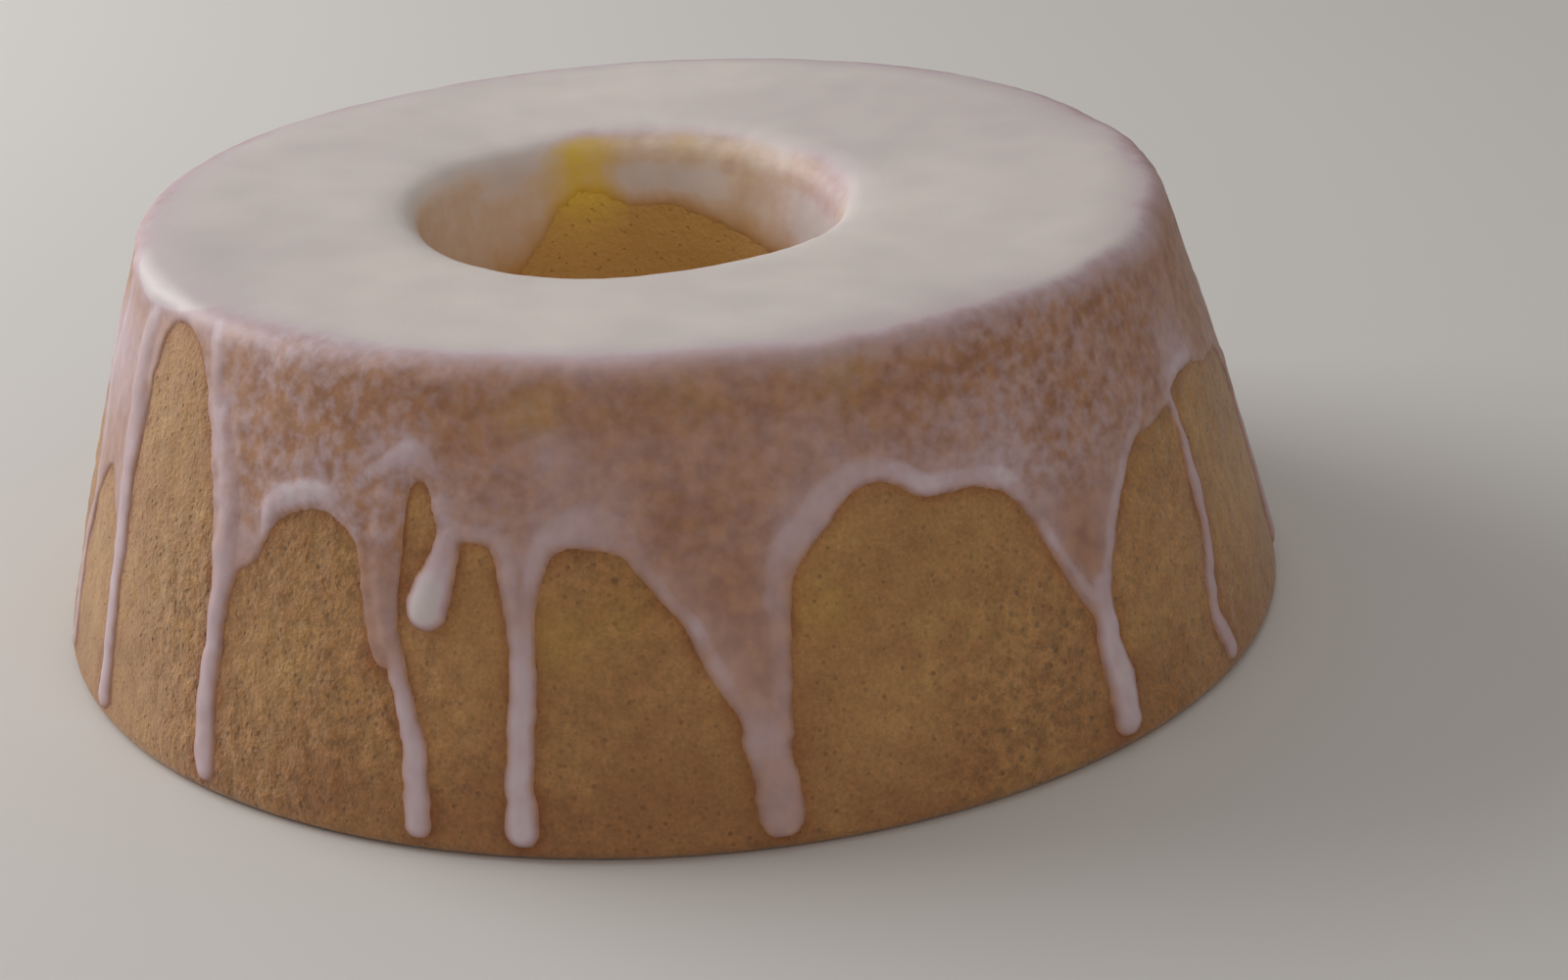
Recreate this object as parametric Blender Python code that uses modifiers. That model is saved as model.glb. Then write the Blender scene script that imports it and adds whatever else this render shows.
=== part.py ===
"""Orange ring cake with poured sugar icing.

Units are metres and +Z is up. The cake stands on z = 0 with its axis on the
origin, and azimuth 0 is the side that faces -Y, growing towards +X.
"""

import math
import random
from dataclasses import dataclass
from itertools import pairwise

import bmesh
import bpy
from mathutils import Vector

MM = 0.001
TURN = 360.0

# Driving dimensions of the baked ring, which tapers towards its top.
BASE_RADIUS = 121.0 * MM
TOP_RADIUS = 98.0 * MM
CAKE_HEIGHT = 79.0 * MM
HOLE_TOP_RADIUS = 42.5 * MM
HOLE_BASE_RADIUS = 31.0 * MM
RIM_ROUND = 4.5 * MM
HOLE_ROUND = 4.5 * MM
BASE_ROUND = 2.2 * MM
HOLE_BASE_ROUND = 2.0 * MM
SIDE_BULGE = 1.0 * MM

# How far the baked ring is from a true turned shape.
OVAL_SHARE = 0.004
LOBE_SHARE = 0.003
TOP_TILT_SHARE = 0.006
TOP_WAVE_SHARE = 0.005
HOLE_SHIFT = Vector((-4.5 * MM, -3.5 * MM))
HOLE_OVAL_SHARE = 0.03
HOLE_DIP_SHARE = 0.010

# The icing lies a little off the crust, so that the two solids stay apart.
ICING_GAP = 0.3 * MM
TOP_THICKNESS = 1.9 * MM
RIM_THICKNESS = 1.2 * MM
FILM_THICKNESS = 0.6 * MM
BEAD_THICKNESS = 1.4 * MM
EDGE_THICKNESS = 0.5 * MM
BEAD_WIDTH = 3.0 * MM
LIP_DEPTH = 9.0 * MM
LIP_WAVE = 2.5 * MM

# A drip's section is a round tube pressed flat against the crust.
DRIP_FLATNESS = 0.55
DRIP_LIFT_SHARE = 0.10
DRIP_RUN_IN = 9.0 * MM
DRIP_POINT_SPACING = 8.5 * MM
DRIP_BACK_GAP = 0.36 * MM

# Facets.
CAKE_STEPS = 76
SIDE_ROWS = 6
HOLE_ROWS = 4
FLAT_ROWS = 2
ARC_PIECES = 3
BASE_ARC_PIECES = 2
COLUMN_SPACING = 4.0
FINE_ARC_PIECES = 24

# The far side's drips, which a seeded rule spreads out.
SEED = 7
FAR_START = 84.0
FAR_END = 277.0
FAR_SPACING = (12.0, 21.0)


@dataclass(frozen=True)
class Drip:
    """A stream of icing down the side. Azimuths are in degrees, sizes in millimetres."""

    azimuth: float
    foot_azimuth: float
    junction: float
    foot: float
    width: float


@dataclass(frozen=True)
class Arch:
    """The film's edge from one drip to the next. It is highest at `lean` of the way."""

    lean: float
    height: float
    left_power: float = 2.6
    right_power: float = 2.6


# The side that shows, from left to right: each drip and the arch after it.
FRONT_RUN = (
    (Drip(-66.0, -64.5, 60.0, 2.0, 7.0), Arch(0.50, 76.0, 3.0, 3.0)),
    (Drip(-48.0, -46.5, 42.0, 2.5, 6.0), Arch(0.68, 57.0, 1.6, 3.0)),
    (Drip(-28.0, -22.8, 44.0, 2.0, 6.0), Arch(0.50, 65.5, 3.0, 3.0)),
    (Drip(-20.4, -22.9, 47.0, 36.5, 8.0), Arch(0.45, 52.5, 2.5, 2.5)),
    (Drip(-14.5, -14.0, 43.0, 1.6, 6.0), Arch(0.28, 51.5, 2.6, 1.7)),
    (Drip(7.2, 7.4, 17.0, 2.0, 8.5), Arch(0.31, 56.0, 4.0, 3.2)),
    (Drip(41.5, 41.0, 22.0, 2.0, 7.0), Arch(0.80, 53.0, 1.8, 3.0)),
    (Drip(59.5, 57.6, 48.0, 2.5, 3.6), Arch(0.50, 55.0, 2.6, 2.6)),
)


def far_run():
    """The drips and arches of the side that faces away."""
    rng = random.Random(SEED)
    run = []
    azimuth = FAR_START
    while azimuth < FAR_END:
        reaches_base = rng.random() < 0.62
        foot = rng.uniform(1.8, 3.0) if reaches_base else rng.uniform(16.0, 34.0)
        drip = Drip(
            azimuth,
            azimuth + rng.uniform(-2.0, 2.0),
            max(rng.uniform(30.0, 47.0), foot + 9.0),
            foot,
            rng.uniform(4.2, 7.8),
        )
        arch = Arch(
            rng.uniform(0.35, 0.65),
            rng.uniform(52.0, 64.0),
            rng.uniform(2.0, 3.6),
            rng.uniform(2.0, 3.6),
        )
        run.append((drip, arch))
        azimuth += rng.uniform(*FAR_SPACING)
    return tuple(run)


ICING_RUN = FRONT_RUN + far_run()


def smooth_step(share):
    """An S-curve from 0 to 1."""
    share = min(max(share, 0.0), 1.0)
    return share * share * (3.0 - 2.0 * share)


def blended(start, end, share):
    """The number that lies `share` of the way from start to end."""
    return start + (end - start) * share


def placed(azimuth, radius, height):
    """The point at an azimuth in degrees, a distance from the axis and a height."""
    angle = math.radians(azimuth)
    return Vector((radius * math.sin(angle), -radius * math.cos(angle), height))


def azimuth_of(point):
    """The azimuth of a point, in degrees."""
    return math.degrees(math.atan2(point.x, -point.y))


def settled(point):
    """Where a point of the true turned shape lies on the real, uneven cake."""
    angle = math.radians(azimuth_of(point))
    radius = math.hypot(point.x, point.y)
    share_up = point.z / CAKE_HEIGHT
    near_hole = 1.0 - smooth_step(
        (radius - HOLE_TOP_RADIUS) / (TOP_RADIUS - HOLE_TOP_RADIUS)
    )
    spread = (
        1.0
        + OVAL_SHARE * math.cos(2.0 * angle - 0.7)
        + LOBE_SHARE * math.cos(3.0 * angle + 0.4) * (0.4 + 0.6 * share_up)
        + HOLE_OVAL_SHARE * math.cos(2.0 * angle - 0.8) * near_hole
    )
    rise = (
        1.0
        + TOP_TILT_SHARE * math.cos(angle + 2.3)
        + TOP_WAVE_SHARE * math.cos(3.0 * angle - 1.1)
        - HOLE_DIP_SHARE * near_hole
    )
    return Vector(
        (
            point.x * spread + HOLE_SHIFT.x * near_hole,
            point.y * spread + HOLE_SHIFT.y * near_hole,
            point.z * rise,
        )
    )


def fillet(before, corner, after, radius, pieces):
    """The arc that rounds a corner of the section, as a list of points."""
    to_before = (before - corner).normalized()
    to_after = (after - corner).normalized()
    half_angle = to_before.angle(to_after) / 2.0
    centre = corner + (to_before + to_after).normalized() * (
        radius / math.sin(half_angle)
    )
    start = corner + to_before * (radius / math.tan(half_angle)) - centre
    end = corner + to_after * (radius / math.tan(half_angle)) - centre
    sweep = start.angle(end)
    return [
        centre
        + (start * math.sin((1.0 - i / pieces) * sweep) + end * math.sin(i / pieces * sweep))
        / math.sin(sweep)
        for i in range(pieces + 1)
    ]


def stretch(start, end, pieces, bulge=0.0):
    """The points between two ends, bowed outwards by `bulge`, without the ends."""
    outwards = Vector((start.y - end.y, end.x - start.x)).normalized()
    return [
        start.lerp(end, i / pieces) + outwards * bulge * math.sin(math.pi * i / pieces)
        for i in range(1, pieces)
    ]


HOLE_BASE = Vector((HOLE_BASE_RADIUS, 0.0))
HOLE_TOP = Vector((HOLE_TOP_RADIUS, CAKE_HEIGHT))
RIM = Vector((TOP_RADIUS, CAKE_HEIGHT))
BASE = Vector((BASE_RADIUS, 0.0))


def cake_section():
    """The ring's closed section, (radius, height), down its outer side first."""
    rim = fillet(HOLE_TOP, RIM, BASE, RIM_ROUND, ARC_PIECES)
    base = fillet(RIM, BASE, HOLE_BASE, BASE_ROUND, BASE_ARC_PIECES)
    hole_base = fillet(BASE, HOLE_BASE, HOLE_TOP, HOLE_BASE_ROUND, BASE_ARC_PIECES)
    hole_top = fillet(HOLE_BASE, HOLE_TOP, RIM, HOLE_ROUND, ARC_PIECES)
    return [
        *rim,
        *stretch(rim[-1], base[0], SIDE_ROWS, -SIDE_BULGE),
        *base,
        *hole_base,
        *stretch(hole_base[-1], hole_top[0], HOLE_ROWS),
        *hole_top,
        *stretch(hole_top[-1], rim[0], FLAT_ROWS),
    ]


class CrustPath:
    """The line that the icing follows: up the hole's wall, over the top and down the side.

    A place on it is its length from the foot of the hole's wall, in metres.
    """

    def __init__(self):
        hole = fillet(HOLE_BASE, HOLE_TOP, RIM, HOLE_ROUND, FINE_ARC_PIECES)
        rim = fillet(HOLE_TOP, RIM, BASE, RIM_ROUND, FINE_ARC_PIECES)
        side = stretch(rim[-1], BASE, FINE_ARC_PIECES, -SIDE_BULGE)
        self.points = [HOLE_BASE, *hole, *rim, *side, BASE]
        self.lengths = [0.0]
        for start, end in pairwise(self.points):
            self.lengths.append(self.lengths[-1] + (end - start).length)
        self.hole_arc = self.lengths[1], self.lengths[len(hole)]
        self.rim_arc = (
            self.lengths[len(hole) + 1],
            self.lengths[len(hole) + len(rim)],
        )

    def at(self, length, off):
        """The point at this length, `off` metres out from the crust."""
        i = 1
        while i < len(self.lengths) - 1 and self.lengths[i] < length:
            i += 1
        start, end = self.points[i - 1], self.points[i]
        share = (length - self.lengths[i - 1]) / (self.lengths[i] - self.lengths[i - 1])
        along = (end - start).normalized()
        return start.lerp(end, share) + Vector((-along.y, along.x)) * off

    def side_length(self, height):
        """The length at which the side is at this height."""
        first = self.lengths.index(self.rim_arc[1])
        for i in range(first, len(self.points) - 1):
            start, end = self.points[i], self.points[i + 1]
            if end.y <= height:
                share = (start.y - height) / (start.y - end.y)
                return blended(self.lengths[i], self.lengths[i + 1], share)
        return self.lengths[-1]


CRUST = CrustPath()


def intervals():
    """Each drip with its arch and the next drip, whose azimuth is made the larger one."""
    drips = [drip for drip, _ in ICING_RUN]
    for i, (drip, arch) in enumerate(ICING_RUN):
        following = drips[(i + 1) % len(drips)]
        turns = TURN if i + 1 == len(drips) else 0.0
        yield drip, arch, following, following.azimuth + turns


def coat_columns():
    """(azimuth, height of the film's edge) all round, with a column on each drip and crest."""
    columns = []
    for drip, arch, following, end in intervals():
        crest = blended(drip.azimuth, end, arch.lean)
        for low, high, junction, power in (
            (drip.azimuth, crest, drip.junction, arch.left_power),
            (crest, end, following.junction, arch.right_power),
        ):
            pieces = max(2, round((high - low) / COLUMN_SPACING))
            for i in range(pieces):
                from_crest = 1.0 - i / pieces if low != crest else i / pieces
                fall = (arch.height - junction) * from_crest**power
                columns.append(
                    (blended(low, high, i / pieces), (arch.height - fall) * MM)
                )
    return columns


def lip_depth(azimuth):
    """How far the icing runs down the hole's wall."""
    angle = math.radians(azimuth)
    return LIP_DEPTH + LIP_WAVE * (
        0.7 * math.cos(3.0 * angle + 0.6) + 0.5 * math.cos(5.0 * angle - 1.0)
    )


def column_stations(azimuth, edge_height):
    """(length on the crust's path, icing thickness) for one column of the coat."""
    hole_start, hole_end = CRUST.hole_arc
    rim_start, rim_end = CRUST.rim_arc
    lip = hole_start - lip_depth(azimuth)
    edge = max(CRUST.side_length(edge_height), rim_end + BEAD_WIDTH)
    bead = edge - BEAD_WIDTH
    arc_shares = [i / ARC_PIECES for i in range(ARC_PIECES + 1)]
    return [
        (lip, EDGE_THICKNESS),
        (blended(lip, hole_start, 0.35), RIM_THICKNESS),
        *(
            (blended(hole_start, hole_end, share), blended(RIM_THICKNESS, TOP_THICKNESS, share))
            for share in arc_shares
        ),
        (blended(hole_end, rim_start, 0.5), TOP_THICKNESS),
        *(
            (blended(rim_start, rim_end, share), blended(TOP_THICKNESS, RIM_THICKNESS, share))
            for share in arc_shares
        ),
        (blended(rim_end, bead, 0.45), FILM_THICKNESS),
        (blended(rim_end, bead, 0.95), FILM_THICKNESS),
        (blended(bead, edge, 0.55), BEAD_THICKNESS),
        (edge, EDGE_THICKNESS),
    ]


def material(name, colour, roughness):
    """A Principled material of one colour."""
    made = bpy.data.materials.new(name)
    made.use_nodes = True
    shader = made.node_tree.nodes["Principled BSDF"]
    shader.inputs["Base Color"].default_value = (*colour, 1.0)
    shader.inputs["Roughness"].default_value = roughness
    shader.inputs["Metallic"].default_value = 0.0
    return made


def linked(name, mesh, collection):
    """A new object for a mesh, in a collection."""
    made = bpy.data.objects.new(name, mesh)
    collection.objects.link(made)
    return made


def solid_mesh(source, name):
    """The evaluated mesh of an object, with its caps and seams closed."""
    bpy.context.view_layer.update()
    graph = bpy.context.evaluated_depsgraph_get()
    mesh = bpy.data.meshes.new_from_object(source.evaluated_get(graph))
    mesh.name = name
    shape = bmesh.new()
    shape.from_mesh(mesh)
    bmesh.ops.remove_doubles(shape, verts=shape.verts, dist=0.01 * MM)
    bmesh.ops.recalc_face_normals(shape, faces=shape.faces)
    shape.to_mesh(mesh)
    shape.free()
    return mesh


def settle(mesh):
    """Moves a true turned mesh to the real cake's uneven shape."""
    for vertex in mesh.vertices:
        vertex.co = settled(vertex.co)


def build_cake(collection):
    """The baked ring: its section turned round the axis."""
    section = cake_section()
    profile = bpy.data.meshes.new("section")
    count = len(section)
    profile.from_pydata(
        [(point.x, 0.0, point.y) for point in section],
        [(i, (i + 1) % count) for i in range(count)],
        [],
    )
    turned = linked("turned_section", profile, collection)
    screw = turned.modifiers.new("turn", "SCREW")
    screw.steps = CAKE_STEPS
    screw.render_steps = CAKE_STEPS
    screw.use_merge_vertices = True
    screw.merge_threshold = 0.01 * MM
    mesh = solid_mesh(turned, "cake")
    bpy.data.objects.remove(turned)
    settle(mesh)
    mesh.shade_smooth()
    mesh.materials.append(material("baked_crust", (0.42, 0.23, 0.09), 0.75))
    return linked("cake", mesh, collection)


def build_coat(collection):
    """The poured coat and the film below it, as an open grid that is then given its thickness."""
    columns = coat_columns()
    stations = [column_stations(*column) for column in columns]
    rows = len(stations[0])
    shape = bmesh.new()
    bmesh.ops.create_grid(shape, x_segments=len(columns), y_segments=rows - 1, size=1.0)
    shape.verts.ensure_lookup_table()
    depth_layer = shape.verts.layers.deform.verify()
    for vertex in shape.verts:
        column = round((vertex.co.x + 1.0) / 2.0 * len(columns)) % len(columns)
        row = round((vertex.co.y + 1.0) / 2.0 * (rows - 1))
        length, thickness = stations[column][row]
        radius, height = CRUST.at(length, ICING_GAP)
        vertex.co = placed(columns[column][0], radius, height)
        vertex[depth_layer][0] = thickness / TOP_THICKNESS
    bmesh.ops.remove_doubles(shape, verts=shape.verts, dist=0.01 * MM)
    bmesh.ops.recalc_face_normals(shape, faces=shape.faces)
    top_face = max(shape.faces, key=lambda face: face.calc_center_median().z)
    if top_face.normal.z < 0.0:
        bmesh.ops.reverse_faces(shape, faces=shape.faces)
    mesh = bpy.data.meshes.new("coat")
    shape.to_mesh(mesh)
    shape.free()
    coat = linked("coat", mesh, collection)
    depth = coat.vertex_groups.new(name="icing_depth")
    thicken = coat.modifiers.new("thicken", "SOLIDIFY")
    thicken.thickness = TOP_THICKNESS
    thicken.offset = 1.0
    thicken.vertex_group = depth.name
    thicken.thickness_vertex_group = 0.0
    return coat


def drip_shape(share, from_foot):
    """A drip's half-width at this share of its run, as a share of its nominal one."""
    body = blended(0.80, 1.0, smooth_step((share - 0.55) / 0.4))
    run_in = blended(0.35, 1.0, smooth_step(share / 0.25))
    round_end = math.sqrt(max(0.0, 1.0 - (1.0 - min(from_foot, 1.0)) ** 2))
    return body * run_in * max(round_end, 0.12)


def build_drip(drip, name, collection):
    """One drip: a tapered tube down the side, pressed flat against the crust."""
    half_width = drip.width * MM / 2.0
    top = min(drip.junction * MM + DRIP_RUN_IN, CRUST.at(CRUST.rim_arc[1], 0.0).y)
    foot = drip.foot * MM
    points = max(5, round((top - foot) / DRIP_POINT_SPACING)) + 2
    heights = [blended(top, foot + half_width, i / (points - 3)) for i in range(points - 2)]
    heights += [foot + half_width * 0.35, foot]
    spline_data = bpy.data.curves.new(name, "CURVE")
    spline_data.dimensions = "3D"
    spline_data.bevel_depth = half_width
    spline_data.bevel_resolution = 2
    spline_data.use_fill_caps = True
    spline = spline_data.splines.new("POLY")
    spline.points.add(points - 1)
    for control, height in zip(spline.points, heights, strict=True):
        share = (top - height) / (top - foot)
        azimuth = blended(drip.azimuth, drip.foot_azimuth, share)
        radius, _ = CRUST.at(CRUST.side_length(height), drip.width * MM * DRIP_LIFT_SHARE)
        control.co = (*placed(azimuth, radius, height), 1.0)
        control.radius = drip_shape(share, (height - foot) / half_width)
    tube = linked(name + "_tube", spline_data, collection)
    mesh = solid_mesh(tube, name)
    bpy.data.objects.remove(tube)
    for vertex in mesh.vertices:
        height = max(vertex.co.z, foot)
        crust_radius, _ = CRUST.at(CRUST.side_length(height), 0.0)
        rise = math.hypot(vertex.co.x, vertex.co.y) - crust_radius
        pressed = crust_radius + DRIP_BACK_GAP + max(rise, 0.0) * DRIP_FLATNESS
        vertex.co = placed(azimuth_of(vertex.co), pressed, height)
    return linked(name, mesh, collection)


def build_icing(collection):
    """The coat and its drips, joined into one solid."""
    coat = build_coat(collection)
    drips = bpy.data.collections.new("drips")
    bpy.context.scene.collection.children.link(drips)
    for i, (drip, _) in enumerate(ICING_RUN):
        build_drip(drip, f"drip_{i:02d}", drips)
    join = coat.modifiers.new("join", "BOOLEAN")
    join.operation = "UNION"
    join.operand_type = "COLLECTION"
    join.collection = drips
    join.solver = "MANIFOLD"
    mesh = solid_mesh(coat, "icing")
    for helper in [coat, *drips.objects]:
        bpy.data.objects.remove(helper)
    bpy.data.collections.remove(drips)
    settle(mesh)
    mesh.shade_smooth()
    mesh.materials.append(material("sugar_icing", (0.80, 0.74, 0.69), 0.35))
    return linked("icing", mesh, collection)


def main():
    """Clears the scene and builds the cake."""
    for old in list(bpy.data.objects):
        bpy.data.objects.remove(old)
    collection = bpy.data.collections.new("orange_cake")
    bpy.context.scene.collection.children.link(collection)
    build_cake(collection)
    build_icing(collection)


main()
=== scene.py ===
"""Orange ring cake with poured sugar icing: the finished surfaces.

A section of the ring is turned round the axis for the baked crust, and again for
the icing that lies on it. Sizes are in millimetres until a mesh is written, in
metres, with +Z up. Azimuth 0 is the side that faces -Y, and it grows towards +X.
"""

import logging
import math
import random
from collections.abc import Sequence
from dataclasses import dataclass
from enum import Enum
from itertools import pairwise
from typing import NamedTuple

import bmesh
import bpy
import numpy as np
from mathutils import Matrix, Vector, noise


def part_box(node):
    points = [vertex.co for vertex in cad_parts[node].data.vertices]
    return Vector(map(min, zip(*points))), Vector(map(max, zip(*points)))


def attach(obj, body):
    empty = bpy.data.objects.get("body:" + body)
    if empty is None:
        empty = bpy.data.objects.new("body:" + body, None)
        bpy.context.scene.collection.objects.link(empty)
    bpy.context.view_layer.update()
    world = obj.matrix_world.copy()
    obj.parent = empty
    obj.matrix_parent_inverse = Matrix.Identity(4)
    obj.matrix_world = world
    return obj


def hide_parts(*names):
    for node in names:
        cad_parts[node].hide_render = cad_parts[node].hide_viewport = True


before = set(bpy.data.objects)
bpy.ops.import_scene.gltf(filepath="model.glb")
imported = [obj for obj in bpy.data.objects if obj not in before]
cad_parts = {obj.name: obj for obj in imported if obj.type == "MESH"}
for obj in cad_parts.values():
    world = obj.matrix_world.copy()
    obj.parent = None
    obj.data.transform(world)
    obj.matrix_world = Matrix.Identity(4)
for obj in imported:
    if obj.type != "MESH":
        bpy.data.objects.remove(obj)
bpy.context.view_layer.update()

MM = 0.001
TURN = 360.0
LOG = logging.getLogger("ring_cake")


class Layer(Enum):
    """The named values that a vertex carries, for its place or for its finish."""

    PATH = "path"
    LIFT = "lift"
    INNER = "inner"
    OPACITY = "opacity"
    LACE = "lace"
    SOAK_AND_SHADE = "soak_and_shade"
    TOAST_AND_SHADE = "toast_and_shade"
    CRUMB = "crumb"
    GOLD = "gold"
    HOLE_LIGHT = "in_hole"
    TONE = "tone"


class Slot(Enum):
    """The record's material slot names; no piece is given them here."""

    CRUST = "baked_crust"
    ICING = "sugar_icing"


# ---------------------------------------------------------------- small helpers


def smooth_step(share: np.ndarray) -> np.ndarray:
    """Eases a share from 0 to 1 on an S-curve, and holds it at the ends outside of that."""
    share = np.clip(share, 0.0, 1.0)
    return share * share * (3.0 - 2.0 * share)


def smooth_max(first: np.ndarray, second: np.ndarray, blend: float) -> np.ndarray:
    """The larger of two fields, with a round transition as wide as the blend between them."""
    near = np.maximum(blend - np.abs(first - second), 0.0)
    return np.maximum(first, second) + near * near / (4.0 * blend)


class Noise(NamedTuple):
    """Smooth unevenness: its strength, a swelling's width in millimetres, and a seed."""

    strength: float
    size: float
    seed: float


def uneven(points: np.ndarray, *noises: Noise) -> np.ndarray:
    """Smooth noise through space.

    Args:
        points: Places in millimetres, one row each.
        noises: The noises that are added up.

    Returns:
        A number for each place, from about minus to plus the sum of the strengths.
    """
    total = np.zeros(len(points))
    for part in noises:
        places = points / part.size + part.seed
        total += part.strength * np.array([noise.noise(Vector(place)) for place in places])
    return total


def hump(value: np.ndarray, centre: float, width: float) -> np.ndarray:
    """A smooth hump, 1 at its centre and about a third at its width from there."""
    return np.exp(-(((value - centre) / width) ** 2))


def from_front(azimuth: float | np.ndarray) -> float | np.ndarray:
    """Brings azimuths to between -180 and 180 degrees."""
    return (azimuth + TURN / 2.0) % TURN - TURN / 2.0


def srgb(code: str) -> tuple[float, float, float, float]:
    """Turns an sRGB hex colour to Blender's linear numbers.

    Args:
        code: Six hex digits after a hash sign.

    Returns:
        Red, green, blue and an alpha of 1.
    """
    shares = [int(code[i : i + 2], 16) / 255.0 for i in (1, 3, 5)]
    linear = [
        share / 12.92 if share <= 0.04045 else ((share + 0.055) / 1.055) ** 2.4
        for share in shares
    ]
    return (linear[0], linear[1], linear[2], 1.0)


def fill(tree: bpy.types.NodeTree, node: bpy.types.Node, sockets: dict[int | str, object]) -> None:
    """Fills or links a node's input sockets.

    Args:
        tree: The material's node tree.
        node: The node.
        sockets: A number, a colour or another node's output for each input.
    """
    for name, value in sockets.items():
        if isinstance(value, bpy.types.NodeSocket):
            tree.links.new(value, node.inputs[name])
        else:
            node.inputs[name].default_value = value


def add_node(
    tree: bpy.types.NodeTree, kind: str, settings: dict[str, object] | None = None,
    sockets: dict[int | str, object] | None = None,
) -> bpy.types.Node:
    """Adds a node with its settings and links.

    Args:
        tree: The material's node tree.
        kind: The node's Blender type.
        settings: Values of the node's own properties.
        sockets: What its input sockets are filled with or linked to.

    Returns:
        The new node.
    """
    made = tree.nodes.new(kind)
    for name, value in (settings or {}).items():
        setattr(made, name, value)
    fill(tree, made, sockets or {})
    return made


def span(low: float, high: float, to_low: float = 0.0, to_high: float = 1.0) -> dict[str, float]:
    """The ends of a Map Range node: what it reads from, and what it gives for that."""
    return {"From Min": low, "From Max": high, "To Min": to_low, "To Max": to_high}


def mesh_of(name: str, shape: bmesh.types.BMesh) -> bpy.types.Mesh:
    """Turns a shape, which is used up, to a mesh.

    Args:
        name: The mesh's name.
        shape: The shape.

    Returns:
        The mesh.
    """
    mesh = bpy.data.meshes.new(name)
    shape.to_mesh(mesh)
    shape.free()
    return mesh


def add_object(name: str, data: bpy.types.ID) -> bpy.types.Object:
    """Adds an object to the scene.

    Args:
        name: The object's name.
        data: Its mesh, light or camera.

    Returns:
        The object.
    """
    made = bpy.data.objects.new(name, data)
    bpy.context.scene.collection.objects.link(made)
    return made


def direction(azimuth: float, elevation: float) -> Vector:
    """The way from the cake towards an azimuth and an elevation, both in degrees."""
    angle, rise = math.radians(azimuth), math.radians(elevation)
    return Vector((math.sin(angle) * math.cos(rise), -math.cos(angle) * math.cos(rise), math.sin(rise)))


# ------------------------------------------------------------- form of the ring


@dataclass(frozen=True)
class Fillet:
    """An arc that rounds a corner of the section."""

    before: tuple[float, float]
    corner: tuple[float, float]
    after: tuple[float, float]
    radius: float
    pieces: int = 24

    def points(self) -> list[np.ndarray]:
        """Works out the arc.

        Returns:
            Points of radius and height, from the first side to the second.
        """
        corner = np.array(self.corner)
        sides = [np.array(end) - corner for end in (self.before, self.after)]
        to_before, to_after = (side / np.linalg.norm(side) for side in sides)
        half_angle = math.acos(float(to_before @ to_after)) / 2.0
        middle = to_before + to_after
        centre = corner + middle / np.linalg.norm(middle) * self.radius / math.sin(half_angle)
        setback = self.radius / math.tan(half_angle)
        start = corner + to_before * setback - centre
        end = corner + to_after * setback - centre
        sweep = math.pi - 2.0 * half_angle
        return [
            centre
            + (start * math.sin((1.0 - share) * sweep) + end * math.sin(share * sweep))
            / math.sin(sweep)
            for share in np.linspace(0.0, 1.0, self.pieces + 1)
        ]


@dataclass(frozen=True)
class Spots:
    """Places on the smooth crust: on the turned section, and in space.

    `azimuth` is in degrees, from -180 to 180. The rest is in millimetres.
    """

    azimuth: np.ndarray
    path: np.ndarray
    radius: np.ndarray
    height: np.ndarray
    points: np.ndarray


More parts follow.
